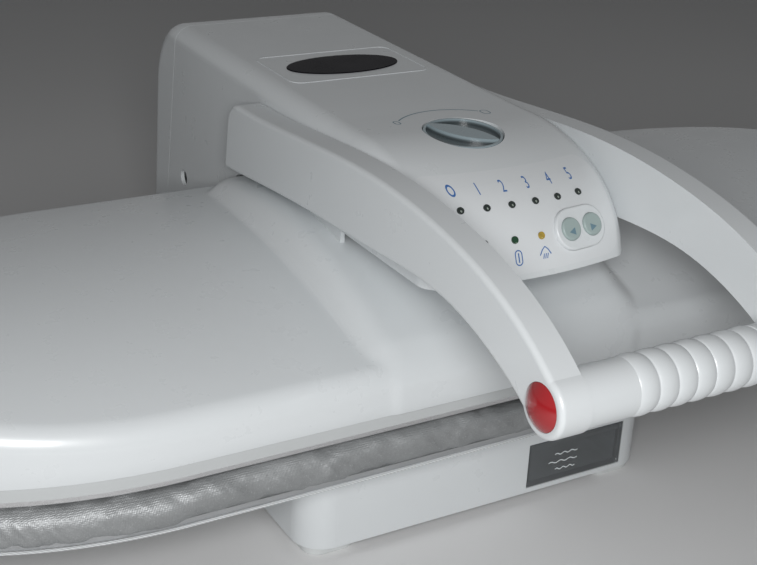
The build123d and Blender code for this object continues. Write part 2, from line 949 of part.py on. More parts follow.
def make_control_housing():
    pocket_radius = dial_radius + dial_side_gap
    pocket_wall = dial_rod(pocket_radius + housing_wall, -housing_wall, far_above)
    shell = whole_housing - inside_housing - housing_mouth + (pocket_wall & whole_housing)
    shell = shell - rear_zone(0)
    shell = joined([shell] + board_standoffs())
    shell = minus(shell, [cover_solid, panel_skin] + control_cutters())
    pocket = dial_rod(pocket_radius, 0, far_above)
    hub_hole = dial_rod(dial_hub_radius + slip_gap, -housing_wall - past, 1)
    shaft_hole = rod_x(shaft_radius + running_gap, -housing_half_width - past, housing_half_width + past,
                       lever_y, lever_z)
    recess = rod_x(recess_radius, -housing_half_width - past, housing_half_width + past, hinge_y, hinge_z)
    badge_seat = badge_plane * Pos(0, 0, badge_proud - badge_thickness) * extrude(
        Ellipse(badge_half_length, badge_half_width), amount=badge_thickness)
    return minus(shell, [pocket, hub_hole, shaft_hole, recess, badge_seat])


top_slope = (tower_top - housing_top) / (tower_top_y - nose_back_y)
badge_plane = Plane(origin=(0, badge_y, top_height(badge_y)), x_dir=(1, 0, 0),
                    z_dir=(0, -top_slope, 1))


def make_rear_cover():
    shell = (whole_housing - inside_housing - housing_mouth) & rear_zone(seam_gap)
    inner_x = housing_half_width - housing_wall
    outer_x = inner_x - slip_gap
    for z in (tower_bottom + hook_low, hook_high):
        seam_y = seam_top_y + math.tan(math.radians(seam_slope)) * (tower_top - z)
        end_y = seam_y + hook_length - hook_reach
        hook = block(outer_x - hook_thickness, outer_x, seam_y - hook_reach, end_y, z, z + hook_height)
        root = block(outer_x - hook_thickness / 2, inner_x + hook_bite, end_y - hook_root, end_y,
                     z, z + hook_height)
        shell = joined([shell] + both_sides(hook + root))
    return shell


def make_badge_plate():
    blank = extrude(Ellipse(badge_half_length, badge_half_width), amount=badge_thickness)
    blank = chamfer(blank.edges().group_by(Axis.Z)[-1], badge_proud / 2)
    return badge_plane * Pos(0, 0, badge_proud - badge_thickness) * blank


# Controls
def make_led(place):
    return lamp(place, led_radius, 0)


def make_key_surround():
    body = extrude(keypad_oval, amount=housing_wall + keypad_proud)
    body = fillet(body.edges().group_by(Axis.Z)[-1], keypad_edge_radius)
    body = Pos(0, 0, -housing_wall) * body
    for x in (-key_pitch / 2, key_pitch / 2):
        body = body - rod_z(key_radius + key_gap, x, 0, -key_board_depth, key_board_depth)
    for y in (-1, 1):
        post_y = y * (keypad_height / 2 - keypad_post_inset)
        body = body + rod_z(keypad_post_radius, 0, post_y, -key_board_depth, -housing_wall)
    return keypad_place * body


def make_key(side):
    cap = rod_z(key_radius, 0, 0, -key_sink, keypad_proud + key_proud)
    cap = fillet(cap.edges().group_by(Axis.Z)[-1], key_edge_radius)
    stem = rod_z(key_stem_radius, 0, 0, -key_stem_end, -key_sink)
    return keypad_place * Pos(side * key_pitch / 2, 0, 0) * (cap + stem)


def make_key_switches():
    plan = RectangleRounded(keypad_length - 2 * key_board_end_inset,
                            keypad_height - 2 * key_board_side_inset, key_board_corner)
    board = Pos(0, 0, -key_board_depth - key_board_thickness) * extrude(plan, amount=key_board_thickness)
    height = key_board_depth - key_stem_end - key_travel - panel_gap
    switch = Box(key_switch_side, key_switch_side, height)
    for side in (-1, 1):
        board = board + Pos(side * key_pitch / 2, 0, height / 2 - key_board_depth) * switch
    return keypad_place * board


dial_top = slip_gap + dial_thickness
hub_end = slip_gap - dial_hub_length


def make_steam_dial():
    """A disc with two scoops that leave a narrow grip between them."""
    lens_offset = dial_grip_radius - dial_grip_half_width
    lens = Circle(dial_grip_radius) & Pos(2 * lens_offset, 0) * Circle(dial_grip_radius)
    hollow = Circle(dial_radius - dial_rim)
    grip = Rot(0, 0, dial_grip_turn) * Pos(-lens_offset, 0) * lens & hollow
    disc = rod_z(dial_radius, 0, 0, slip_gap, dial_top)
    disc = fillet(disc.edges().group_by(Axis.Z)[-1], dial_edge_radius)
    scoops = Pos(0, 0, dial_top - dial_scoop_depth) * extrude(hollow - grip, amount=2 * dial_scoop_depth)
    ridge = Pos(0, 0, dial_top) * extrude(grip, amount=dial_grip_rise)
    hub = rod_z(dial_hub_radius, 0, 0, hub_end, slip_gap)
    bore = rod_z(pot_shaft_radius + running_gap, 0, 0, hub_end - past, slip_gap + past)
    return dial_place * (disc - scoops + ridge + hub - bore)


def make_dial_potentiometer():
    """A round body that stands on the control board and leans with the dial."""
    low = circuit_z + circuit_thickness
    high = hub_end - pot_gap
    above_board = block(-circuit_half_width, circuit_half_width, circuit_front, circuit_rear,
                        low, housing_top)
    body = dial_rod(pot_radius, high - 2 * pot_radius, high) & above_board
    return body + dial_rod(pot_shaft_radius, high, high + pot_shaft_length)


def make_control_board():
    return block(-circuit_half_width, circuit_half_width, circuit_front, circuit_rear,
                 circuit_z, circuit_z + circuit_thickness)


# Steam works and head frame
def make_heating_element():
    height = plate_top + plate_clearance + heater_radius
    x = heater_half_length
    y = heater_half_width
    path = FilletPolyline(
        (-heater_end_x, y, height), (-x, y, height), (-x, -y, height),
        (x, -y, height), (x, y, height), (heater_end_x, y, height), radius=heater_corner)
    section = Plane(origin=(-heater_end_x, y, height), z_dir=(-1, 0, 0)) * Circle(heater_radius)
    return sweep(section, path=path)


def make_steam_chamber_lid():
    middle = (chamber_front + chamber_rear) / 2
    plan = Pos(0, middle, plate_top) * RectangleRounded(
        2 * chamber_half_width, chamber_rear - chamber_front, chamber_corner)
    lid = extrude(plan, amount=chamber_height)
    hollow = extrude(offset(plan, amount=-chamber_wall), amount=chamber_height - chamber_roof)
    nipple = rod_z(hose_bore, hose_x, chamber_rear - chamber_port_setback, plate_top + chamber_height,
                   plate_top + chamber_height + nipple_length)
    return lid - hollow + nipple


def make_thermostat():
    top = plate_top + thermostat_height
    disc = rod_z(thermostat_radius, thermostat_x, 0, plate_top, top - thermostat_step)
    neck = rod_z(thermostat_radius - thermostat_neck_inset, thermostat_x, 0, plate_top, top)
    tab_low = top - thermostat_tab_drop
    tabs = block(thermostat_x - thermostat_tab_half_length, thermostat_x + thermostat_tab_half_length,
                 -thermostat_tab_half_width, thermostat_tab_half_width,
                 tab_low, tab_low + thermostat_tab_thickness)
    return disc + neck + tabs


def make_head_frame():
    front = plate_boss_front - frame_end_reach
    rear = plate_boss_rear + frame_end_reach
    top = frame_floor + steel_thickness
    outline = make_face(Polyline(
        (hinge_y, hinge_z - ear_radius),
        (hinge_y - frame_ear_setback, hinge_z + ear_radius - frame_ear_drop),
        (frame_ridge_rear_y, hinge_z + frame_ridge_rear_rise),
        (frame_ridge_front_y, hinge_z + frame_ridge_front_rise),
        (front, frame_floor + frame_nose_height), (front, frame_floor), (rear, frame_floor),
        (plate_boss_rear + frame_knee_reach, frame_floor + frame_knee_rise), close=True))
    outline = outline + Pos(hinge_y, hinge_z) * Circle(ear_radius - frame_ear_inset)
    side = along_x(outline, head_plate_x, head_plate_x + steel_thickness)
    flange = block(head_plate_x - frame_flange_width, head_plate_x + past, front, rear,
                   frame_floor, top)
    frame = joined(both_sides(side + flange))
    for y in (plate_boss_front - frame_tie_shift, plate_boss_rear - frame_tie_shift):
        tie = block(-head_plate_x - past, head_plate_x + past, y - frame_tie_front, y + frame_tie_rear,
                    frame_floor, top)
        frame = frame + tie
    for y in (plate_boss_front, plate_boss_rear):
        hole = rod_z(screw_hole_radius, plate_boss_x, y, frame_floor - past, top + past)
        frame = frame - hole - mirrored(hole)
    far = head_plate_x + 2 * steel_thickness
    return frame - rod_x(bush_radius + running_gap, -far, far, hinge_y, hinge_z)


bush_end_x = head_plate_x + steel_thickness + bush_proud


def make_hinge_bushes():
    tube = rod_x(bush_radius, head_plate_x - bush_flange, bush_end_x, hinge_y, hinge_z)
    flange = rod_x(bush_flange_radius, head_plate_x - bush_flange, head_plate_x, hinge_y, hinge_z)
    bore = rod_x(pin_radius + running_gap, ear_x, bush_end_x + past, hinge_y, hinge_z)
    bush = tube + flange - bore
    return group(both_sides(bush))


def make_frame_bolts():
    bolt = Rot(180, 0, 0) * screw(screw_depth - screw_tip_gap)
    bolts = []
    for y in (plate_boss_front, plate_boss_rear):
        place = Pos(plate_boss_x, y, frame_floor + steel_thickness)
        bolts += both_sides(place * bolt)
    return group(bolts)


def make_cover_screws():
    screws = []
    for x, y in wing_posts:
        screws += both_sides(Pos(x, y, plate_top + screw_head_height) * screw(screw_depth))
    return group(screws)


def make_steam_hose():
    end_y = chamber_rear - chamber_port_setback
    points = [
        (hose_x, hose_y, hose_split_z + slip_gap), (hose_x, hose_y, hose_run_z),
        (hose_x, end_y, hose_run_z), (hose_x, end_y, plate_top + chamber_height),
    ]
    return hose(points, [hose_bend_radius, hose_bend_radius])


# Hinge of the base
bracket_bolt_places = [
    (bracket_bolt_x, bracket_front + bracket_bolt_front),
    (bracket_bolt_x, bracket_rear - bracket_bolt_rear),
]
link_x = crank_thickness / 2 + link_side_gap + link_washer
left_lug_x = link_x - link_side_gap - steel_thickness
right_lug_x = link_x + link_thickness + link_side_gap


def hinge_ear(radius):
    """Side view of one bracket ear round the hinge pin."""
    web = make_face(Polyline(
        (bracket_front, plinth_top), (bracket_rear, plinth_top),
        (bracket_rear, neck_top + ear_foot_rise),
        (hinge_y + radius - ear_shoulder_inset, hinge_z - ear_shoulder_rear_drop),
        (hinge_y - radius + ear_shoulder_inset, hinge_z - ear_shoulder_front_drop),
        (bracket_front + ear_foot_front, neck_top), close=True))
    return web + Pos(hinge_y, hinge_z) * Circle(radius)


def link_lug():
    """Side view of one lug that carries the link."""
    web = make_face(Polyline(
        (link_y - lug_foot_front, plinth_top), (link_y + lug_foot_rear, plinth_top),
        (link_y + link_lug_radius - lug_taper, link_z),
        (link_y - link_lug_radius + lug_taper, link_z), close=True))
    return web + Pos(link_y, link_z) * Circle(link_lug_radius)


def make_hinge_bracket():
    floor = block(-ear_x - steel_thickness, ear_x + steel_thickness, bracket_front, bracket_rear,
                  plinth_top, plinth_top + steel_thickness)
    ear = along_x(hinge_ear(ear_radius), ear_x, ear_x + steel_thickness)
    bracket = joined([floor] + both_sides(ear))
    for x in (left_lug_x, right_lug_x):
        bracket = bracket + along_x(link_lug(), x, x + steel_thickness)
    tab_top = clip_tab_z + clip_tab_thickness
    tab = block(-ear_x - past, hose_x + clip_tab_right, hose_y - clip_tab_front,
                hose_y + clip_tab_rear, clip_tab_z, tab_top)
    bracket = bracket + tab
    far = ear_x + steel_thickness + past
    cutters = [
        rod_x(pin_radius + running_gap, -far, far, hinge_y, hinge_z),
        rod_x(link_pin_radius + running_gap, -bracket_bolt_x, bracket_bolt_x, link_y, link_z),
        rod_z(hose_radius + running_gap, hose_x, hose_y, plinth_top - past, tab_top + past),
    ]
    floor_top = plinth_top + steel_thickness
    for x, y in bracket_bolt_places:
        cutters += both_sides(rod_z(screw_hole_radius, x, y, plinth_top - past, floor_top + past))
    return minus(bracket, cutters)


def make_bracket_bolts():
    bolt = Rot(180, 0, 0) * screw(screw_depth + bracket_bolt_extra)
    bolts = []
    for x, y in bracket_bolt_places:
        bolts += both_sides(Pos(x, y, plinth_top + steel_thickness) * bolt)
    return group(bolts)


def make_neck_cover():
    inner_x = ear_x + steel_thickness + neck_gap
    front = bracket_front - neck_gap
    rear = bracket_rear + neck_gap
    middle = (front + rear) / 2
    outside = Pos(0, middle, plinth_top) * RectangleRounded(
        2 * (inner_x + neck_wall), rear - front + 2 * neck_wall, neck_corner)
    inside = Pos(0, middle, plinth_top - past) * RectangleRounded(
        2 * inner_x, rear - front, neck_corner - neck_wall)
    tall = neck_top - plinth_top
    return extrude(outside, amount=tall) - extrude(inside, amount=tall + 2 * past)


clip_x = bush_end_x + slip_gap


def make_hinge_pin():
    pin = rod_x(pin_radius, -pin_half_length, pin_half_length, hinge_y, hinge_z)
    ends = pin.edges().group_by(Axis.X)
    pin = chamfer(ends[0] + ends[-1], pin_chamfer)
    groove_end = clip_x + clip_thickness + running_gap
    ring = rod_x(pin_radius + past, clip_x, groove_end, hinge_y, hinge_z)
    ring = ring - rod_x(pin_radius - groove_depth, clip_x - past, groove_end + past, hinge_y, hinge_z)
    return minus(pin, both_sides(ring))


def make_pin_clips():
    clip = rod_x(clip_radius, clip_x, clip_x + clip_thickness, hinge_y, hinge_z)
    far = clip_x + clip_thickness + past
    bore = rod_x(pin_radius - groove_depth + running_gap, clip_x - past, far, hinge_y, hinge_z)
    mouth = block(clip_x - past, far, hinge_y - clip_mouth / 2, hinge_y + clip_mouth / 2,
                  hinge_z, hinge_z + clip_radius + past)
    return group(both_sides(clip - bore - mouth))


def make_torsion_springs():
    radius = pin_radius + spring_clearance + spring_wire / 2
    coil = coil_x(radius, spring_wire, spring_pitch, spring_turns,
                  spring_x + spring_wire / 2, hinge_y, hinge_z)
    print("torsion spring gap between turns", round(spring_pitch - spring_wire, 2), "mm")
    return group(both_sides(coil))


# Pressure link between base and crank
link_angle = math.degrees(math.atan2(crank_z - link_z, crank_y - link_y))
link_length = math.hypot(crank_y - link_y, crank_z - link_z)


def bar(length, half_width, angle, y, z):
    """A bar with round ends, from a point in Y and Z at an angle."""
    slot = Rot(0, 0, angle) * Pos(length / 2, 0) * SlotCenterToCenter(length, 2 * half_width)
    return Pos(y, z) * slot


def make_pressure_link():
    body = along_x(bar(link_length, link_half_width, link_angle, link_y, link_z),
                   link_x, link_x + link_thickness)
    low_pin = rod_x(link_pin_radius, left_lug_x, right_lug_x + steel_thickness, link_y, link_z)
    high_pin = rod_x(link_pin_radius, -crank_thickness / 2, link_x, crank_y, crank_z)
    return body + low_pin + high_pin


# Lever: shaft with crank, arms, handle and steam buttons
def make_lever_shaft():
    end_x = arm_inner_x + arm_pocket_depth
    shaft = rod_x(shaft_radius, -end_x, end_x, lever_y, lever_z)
    angle = math.degrees(math.atan2(crank_z - lever_z, crank_y - lever_y))
    length = math.hypot(crank_y - lever_y, crank_z - lever_z)
    half = crank_thickness / 2
    web = along_x(bar(length, shaft_radius, angle, lever_y, lever_z), -half, half)
    hub = rod_x(crank_hub_radius, -half, half, lever_y, lever_z)
    eye = rod_x(crank_eye_radius, -half, half, crank_y, crank_z)
    bore = rod_x(link_pin_radius + crank_eye_gap, -half - past, half + past, crank_y, crank_z)
    return shaft + web + hub + eye - bore


def arm_outline():
    """A lever arm seen from the side: nearly straight, then drooping to the handle."""
    lower = Spline(
        (84.0, 158.0), (-20.0, 167.5), (-100.0, 172.0), (-160.0, 172.5), (-197.0, 163.5),
        (handle_y + 1.0, handle_z - arm_end_radius + 0.1))
    upper = Spline(
        (78.0, 200.5), (-20.0, 205.5), (-95.0, 209.0), (-150.0, 204.5), (-196.0, 194.0),
        (handle_y - 5.0, handle_z + arm_end_radius - 1.2))
    body = make_face([
        lower,
        Line(lower @ 1, upper @ 1),
        upper,
        Line(upper @ 0, lower @ 0),
    ])
    corners = body.vertices().sort_by(Axis.X)[-2:]
    high = corners.sort_by(Axis.Y)[-1]
    body = fillet(high, arm_rear_high_radius)
    low = body.vertices().sort_by(Axis.X)[-1]
    body = fillet(low, arm_rear_low_radius)
    return body + Pos(handle_y, handle_z) * Circle(arm_end_radius)


def make_arm():
    """The arm on the press's right-hand side."""
    arm = along_x(arm_outline(), arm_inner_x, arm_outer_x)
    arm = fillet(arm.edges().group_by(Axis.X)[-1], arm_edge_radius)
    cutters = [
        rod_x(button_bore_radius, button_floor_x, arm_outer_x + past, handle_y, handle_z),
        rod_x(grip_tube_radius + running_gap, arm_inner_x - past, arm_inner_x + grip_tube_seat,
              handle_y, handle_z),
        rod_x(wire_hole_radius, arm_inner_x, arm_outer_x, handle_y + wire_hole_setback, handle_z),
        rod_x(shaft_radius + running_gap, arm_inner_x - past, arm_inner_x + arm_pocket_depth,
              lever_y, lever_z),
    ]
    return minus(arm, cutters)


def make_handle_grip():
    grip = rod_x(handle_radius, -arm_inner_x, arm_inner_x, handle_y, handle_z)
    half = (handle_rib_count - 1) / 2
    for index in range(handle_rib_count):
        x = (index - half) * handle_rib_pitch
        rib = rod_x(handle_radius + handle_rib_height, x - handle_rib_width / 2,
                    x + handle_rib_width / 2, handle_y, handle_z)
        rib = chamfer(rib.edges().group_by(Axis.X)[0] + rib.edges().group_by(Axis.X)[-1],
                      handle_rib_slope)
        grip = grip + rib
    return grip - rod_x(grip_tube_radius + running_gap, -arm_outer_x, arm_outer_x, handle_y, handle_z)


def make_grip_tube():
    end_x = arm_inner_x + grip_tube_seat
    tube = rod_x(grip_tube_radius, -end_x, end_x, handle_y, handle_z)
    return tube - rod_x(grip_tube_radius - grip_tube_wall, -arm_outer_x, arm_outer_x, handle_y, handle_z)


def make_steam_button():
    """The red button in the end of the right-hand arm."""
    radius = button_bore_radius - button_gap
    inner_x = arm_outer_x - button_thickness
    stem_x = inner_x - button_stem_length
    ball_radius = (radius ** 2 + button_dome ** 2) / (2 * button_dome)
    ball_x = arm_outer_x + button_dome - ball_radius
    half_turn = math.asin(radius / ball_radius) / 2
    crown = (ball_x + ball_radius * math.cos(half_turn), ball_radius * math.sin(half_turn))
    profile = make_face([
        Polyline((arm_outer_x + button_dome, 0), (stem_x, 0), (stem_x, button_stem_radius),
                 (inner_x, button_stem_radius), (inner_x, radius), (arm_outer_x, radius)),
        ThreePointArc((arm_outer_x, radius), crown, (arm_outer_x + button_dome, 0)),
    ])
    place = Plane(origin=(0, handle_y, handle_z), x_dir=(1, 0, 0), z_dir=(0, -1, 0))
    return revolve(place * profile, axis=Axis((0, handle_y, handle_z), (1, 0, 0)))


def make_button_switch():
    stem_end = arm_outer_x - button_thickness - button_stem_length - button_travel
    high = stem_end - button_stop_gap
    side = button_switch_side
    return block(button_floor_x, high, handle_y - side / 2, handle_y + side / 2,
                 handle_z - side / 2, handle_z + side / 2)


def make_button_spring():
    wire = button_spring_wire
    pressed = arm_outer_x - button_thickness - button_travel - button_stop_gap
    room = pressed - button_floor_x - wire - 2 * button_spring_end_gap
    pitch = room / button_spring_turns
    print("button spring gap between turns", round(pitch - wire, 2), "mm")
    return coil_x(button_spring_radius, wire, pitch, button_spring_turns,
                  button_floor_x + wire / 2 + button_spring_end_gap, handle_y, handle_z)


# Water tank and its bay
tank_middle_x = (tank_left + tank_right) / 2


def make_water_tank():
    middle_y = (base_front + tank_front_thickness + tank_rear) / 2
    length = tank_rear - base_front - tank_front_thickness
    plan = Pos(tank_middle_x, middle_y, tank_floor) * RectangleRounded(
        tank_width, length, tank_corner)
    inner = Pos(tank_middle_x, middle_y, tank_floor + tank_wall) * RectangleRounded(
        tank_width - 2 * tank_wall, length - 2 * tank_wall, tank_corner - tank_wall)
    tank = extrude(plan, amount=tank_height) - extrude(inner, amount=tank_height)
    front = block(tank_left, tank_right, base_front, base_front + tank_front_thickness + tank_corner,
                  tank_floor, tank_floor + tank_front_height)
    front = front & block(tank_left, tank_right, base_front,
                          base_front + tank_front_thickness + tank_front_fit, 0, base_top)
    corner_fill = block(tank_left, tank_right, base_front + tank_front_thickness,
                        base_front + tank_front_thickness + tank_wall, tank_floor,
                        tank_floor + tank_height)
    hole = along_y(Circle(valve_radius + running_gap), tank_middle_x, valve_z,
                   tank_rear - tank_wall - past, tank_rear + past)
    return tank + front + corner_fill - hole


def make_tank_lid():
    low = tank_floor + tank_height
    front = base_front + tank_front_thickness + tank_front_fit + panel_gap
    middle_y = (front + tank_rear) / 2
    plan = Pos(tank_middle_x, middle_y, low) * RectangleRounded(
        tank_width, tank_rear - front, tank_corner - tank_wall)
    lid = extrude(plan, amount=lid_thickness)
    return lid - rod_z(filler_radius, tank_middle_x, base_front + filler_setback,
                       low - past, low + lid_thickness + past)


def make_tank_cap():
    low = tank_floor + tank_height + lid_thickness
    y = base_front + filler_setback
    disc = rod_z(cap_radius, tank_middle_x, y, low, low + cap_thickness)
    disc = chamfer(disc.edges().group_by(Axis.Z)[-1], cap_chamfer)
    plug = rod_z(filler_radius - running_gap, tank_middle_x, y, low - lid_thickness - cap_plug_reach, low)
    return disc + plug


def make_tank_valve():
    return along_y(Circle(valve_radius), tank_middle_x, valve_z,
                   tank_rear - tank_wall - valve_inner_reach, tank_rear + valve_reach)


seat_back = tank_rear + tank_gap


def make_tank_seat():
    left = window_left - seat_wall
    right = window_right + seat_wall
    low = pan_top
    floor_top = tank_floor - slip_gap
    front = base_front + base_wall + slip_gap
    floor = block(left, right, front, seat_back + seat_wall, low, floor_top)
    walls = [
        block(left, window_left, front, seat_back + seat_wall, low, floor_top + seat_height),
        block(window_right, right, front, seat_back + seat_wall, low, floor_top + seat_height),
        block(left, right, seat_back, seat_back + seat_wall, low, valve_z + seat_height),
    ]
    boss = along_y(Circle(seat_boss_radius), tank_middle_x, valve_z,
                   seat_back, seat_back + seat_boss_length)
    nipple = along_y(Circle(hose_bore), tank_middle_x, valve_z,
                     seat_back + seat_boss_length, seat_back + seat_boss_length + nipple_length)
    bore = along_y(Circle(valve_radius + slip_gap), tank_middle_x, valve_z,
                   seat_back - past, seat_back + seat_boss_length - seat_boss_end)
    return joined([floor] + walls + [boss, nipple]) - bore


# Pump, hoses and electrics
def make_pump():
    right_end = rod_x(pump_end_radius, pump_right - pump_end_length, pump_right, pump_y, pump_z)
    left_end = rod_x(pump_end_radius, pump_left, pump_left + pump_end_length, pump_y, pump_z)
    coil_right = pump_right - pump_end_length
    coil = block(coil_right - coil_length, coil_right, pump_y - coil_side / 2,
                 pump_y + coil_side / 2, pump_z - coil_side / 2, pump_z + coil_side / 2)
    coil = fillet(coil.edges().filter_by(Axis.X), coil_edge_radius)
    nipples = [
        rod_x(hose_bore, pump_right, pump_right + nipple_length, pump_y, pump_z),
        rod_x(hose_bore, pump_left - nipple_length, pump_left, pump_y, pump_z),
    ]
    return joined([right_end, left_end, coil] + nipples)


def make_pump_mount():
    saddles = []
    for x in (pump_right - mount_inset - mount_length, pump_left + mount_inset):
        saddle = block(x, x + mount_length, pump_y - mount_width / 2, pump_y + mount_width / 2,
                       pan_top, pump_z)
        saddles.append(saddle - rod_x(pump_end_radius + running_gap, x - past, x + mount_length + past,
                                      pump_y, pump_z))
    return group(saddles)


def make_suction_hose():
    start_y = seat_back + seat_boss_length
    points = [
        (tank_middle_x, start_y, valve_z), (tank_middle_x, pump_y - 6, valve_z),
        (tank_middle_x - 24, pump_y, pump_z), (pump_right, pump_y, pump_z),
    ]
    return hose(points, [12.0, 16.0])


def make_delivery_hose():
    points = [
        (pump_left, pump_y, pump_z), (pump_left - 19, pump_y, pump_z),
        (pump_left - 19, pump_y + 55, pump_z - 4), (hose_x - 20, hose_y - 4, pump_z - 6),
        (hose_x, hose_y, pump_z + 2), (hose_x, hose_y, hose_split_z),
    ]
    return hose(points, [12.0, 24.0, 12.0, 10.0])


power_board_left = power_board_x - power_board_length / 2
power_board_right = power_board_x + power_board_length / 2
power_board_front = power_board_y - power_board_width / 2
power_board_back = power_board_y + power_board_width / 2
power_board_posts = [
    (x, y)
    for x in (power_board_left + standoff_inset, power_board_right - standoff_inset)
    for y in (power_board_front + standoff_inset, power_board_back - standoff_inset)
]


def make_power_board():
    low = pan_top + power_board_height
    high = low + circuit_thickness
    board = block(power_board_left, power_board_right, power_board_front, power_board_back, low, high)
    relay_x = power_board_x - relay_left
    relay = block(relay_x, relay_x + relay_length, power_board_y - relay_half_width,
                  power_board_y + relay_half_width, high, high + relay_height)
    terminal_x = power_board_x + terminal_left
    terminal = block(terminal_x, terminal_x + terminal_length, power_board_y - terminal_half_width,
                     power_board_y + terminal_half_width, high, high + terminal_height)
    return board + relay + terminal


def make_cord_inlet():
    body = along_y(Circle(inlet_radius), inlet_x, inlet_z, base_rear - inlet_length, base_rear)
    flange = along_y(Circle(inlet_flange_radius), inlet_x, inlet_z, base_rear, base_rear + inlet_flange)
    bore = along_y(Circle(inlet_bore), inlet_x, inlet_z, base_rear - inlet_length - past,
                   base_rear + inlet_flange + past)
    return body + flange - bore


parts["base_shell"] = make_base_shell()
parts["bottom_pan"] = make_bottom_pan()
parts["corner_feet"] = make_corner_feet()
parts["base_screws"] = make_base_screws()
parts["board_tray"] = make_board_tray()
parts["board_pad"] = make_board_pad()
parts["board_cover"] = make_board_cover()
parts["hinge_bracket"] = make_hinge_bracket()
parts["bracket_bolts"] = make_bracket_bolts()
parts["neck_cover"] = make_neck_cover()
parts["hinge_pin"] = make_hinge_pin()
parts["pin_clips"] = make_pin_clips()
parts["torsion_springs"] = make_torsion_springs()
parts["pump"] = make_pump()
parts["pump_mount"] = make_pump_mount()
parts["tank_seat"] = make_tank_seat()
parts["suction_hose"] = make_suction_hose()
parts["delivery_hose"] = make_delivery_hose()
parts["power_board"] = make_power_board()
parts["cord_inlet"] = make_cord_inlet()

parts["water_tank"] = make_water_tank()
parts["tank_lid"] = make_tank_lid()
parts["tank_cap"] = make_tank_cap()
parts["tank_valve"] = make_tank_valve()

parts["upper_cover"] = make_upper_cover()
parts["control_housing"] = make_control_housing()
parts["rear_cover"] = make_rear_cover()
parts["insulating_frame"] = make_insulating_frame()
parts["pressing_plate"] = make_pressing_plate()
parts["heating_element"] = make_heating_element()
parts["thermostat"] = make_thermostat()
parts["steam_chamber_lid"] = make_steam_chamber_lid()
parts["head_frame"] = make_head_frame()
parts["hinge_bushes"] = make_hinge_bushes()
parts["frame_bolts"] = make_frame_bolts()
parts["cover_screws"] = make_cover_screws()
parts["steam_hose"] = make_steam_hose()
parts["control_board"] = make_control_board()
parts["control_panel"] = minus(panel_skin, control_cutters())
parts["indicator_leds"] = group([make_led(place) for place in upper_places])
parts["dark_led"] = make_led(dark_place)
parts["green_led"] = make_led(green_place)
parts["amber_led"] = make_led(amber_place)
parts["key_surround"] = make_key_surround()
parts["key_switches"] = make_key_switches()
parts["dial_potentiometer"] = make_dial_potentiometer()
parts["badge_plate"] = make_badge_plate()

right_arm = make_arm()
parts["right_arm"] = right_arm
parts["left_arm"] = mirrored(right_arm)
parts["handle_grip"] = make_handle_grip()
parts["grip_tube"] = make_grip_tube()
parts["lever_shaft"] = make_lever_shaft()
parts["button_switches"] = group(both_sides(make_button_switch()))
parts["button_springs"] = group(both_sides(make_button_spring()))

parts["pressure_link"] = make_pressure_link()
parts["steam_dial"] = make_steam_dial()
parts["key_left"] = make_key(-1)
parts["key_right"] = make_key(1)
steam_button = make_steam_button()
parts["right_steam_button"] = steam_button
parts["left_steam_button"] = mirrored(steam_button)

os.makedirs("parts", exist_ok=True)
for name, solid in parts.items():
    export_step(solid, os.path.join("parts", name + ".step"))
print(len(parts), "nodes written")
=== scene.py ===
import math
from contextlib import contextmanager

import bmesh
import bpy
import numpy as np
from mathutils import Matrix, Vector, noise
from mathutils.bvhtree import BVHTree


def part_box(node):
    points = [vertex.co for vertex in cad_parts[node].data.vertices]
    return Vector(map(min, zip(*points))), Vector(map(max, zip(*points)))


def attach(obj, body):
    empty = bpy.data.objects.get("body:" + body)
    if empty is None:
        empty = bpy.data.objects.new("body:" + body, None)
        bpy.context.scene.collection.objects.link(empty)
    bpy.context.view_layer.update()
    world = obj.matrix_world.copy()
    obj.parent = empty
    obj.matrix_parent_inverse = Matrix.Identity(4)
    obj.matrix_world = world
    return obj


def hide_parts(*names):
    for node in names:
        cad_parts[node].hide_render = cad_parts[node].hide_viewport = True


bl_info = {
    "name": "Steam press",
    "version": (1, 0, 0),
    "blender": (4, 5, 0),
    "location": "View3D > Sidebar > Press",
    "description": "Dresses the construction of a table-top steam press: "
                   "shells, padded cover, signs and finishes",
    "category": "Object",
}

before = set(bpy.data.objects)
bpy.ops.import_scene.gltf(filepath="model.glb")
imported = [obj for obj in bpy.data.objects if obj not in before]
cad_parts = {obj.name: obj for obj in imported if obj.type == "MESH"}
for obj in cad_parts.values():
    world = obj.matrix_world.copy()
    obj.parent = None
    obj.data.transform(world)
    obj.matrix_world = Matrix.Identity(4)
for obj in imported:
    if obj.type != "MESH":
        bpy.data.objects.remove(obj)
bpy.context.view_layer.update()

MM = 0.001

# Heights and places that the construction gives, in metres
skirt_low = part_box("upper_cover")[0].z
skirt_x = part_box("upper_cover")[1].x
handle_low, handle_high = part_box("handle_grip")
handle_axis_y = (handle_low.y + handle_high.y) / 2
handle_axis_z = (handle_low.z + handle_high.z) / 2
board_low, board_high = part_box("board_cover")
board_middle_y = (board_low.y + board_high.y) / 2
board_half_width = (board_high.y - board_low.y) / 2

# The dial's seat in the housing: its place, its lean and the height of its rim over it
dial_seat = Vector((0, -50, 205.8)) * MM
dial_lean = math.radians(4.2)
dial_rim_height = 3.9 * MM

# The panel's row of small lamps and the signs round them, in mm
lamp_pitch = 14.4
lamp_count = 6
lamp_row_z = 190.0
zero_z = 197.0
number_z = 196.8


class Number:
    """An output socket that Python's operators turn into Math nodes of its tree."""

    def __init__(self, network, socket):
        self.network = network
        self.socket = socket

    def __add__(self, other):
        return self.network.math("ADD", self, other)

    def __mul__(self, other):
        return self.network.math("MULTIPLY", self, other)

    def __sub__(self, other):
        return self.network.math("SUBTRACT", self, other)

    def __truediv__(self, other):
        return self.network.math("DIVIDE", self, other)

    def __pow__(self, other):
        return self.network.math("POWER", self, other)


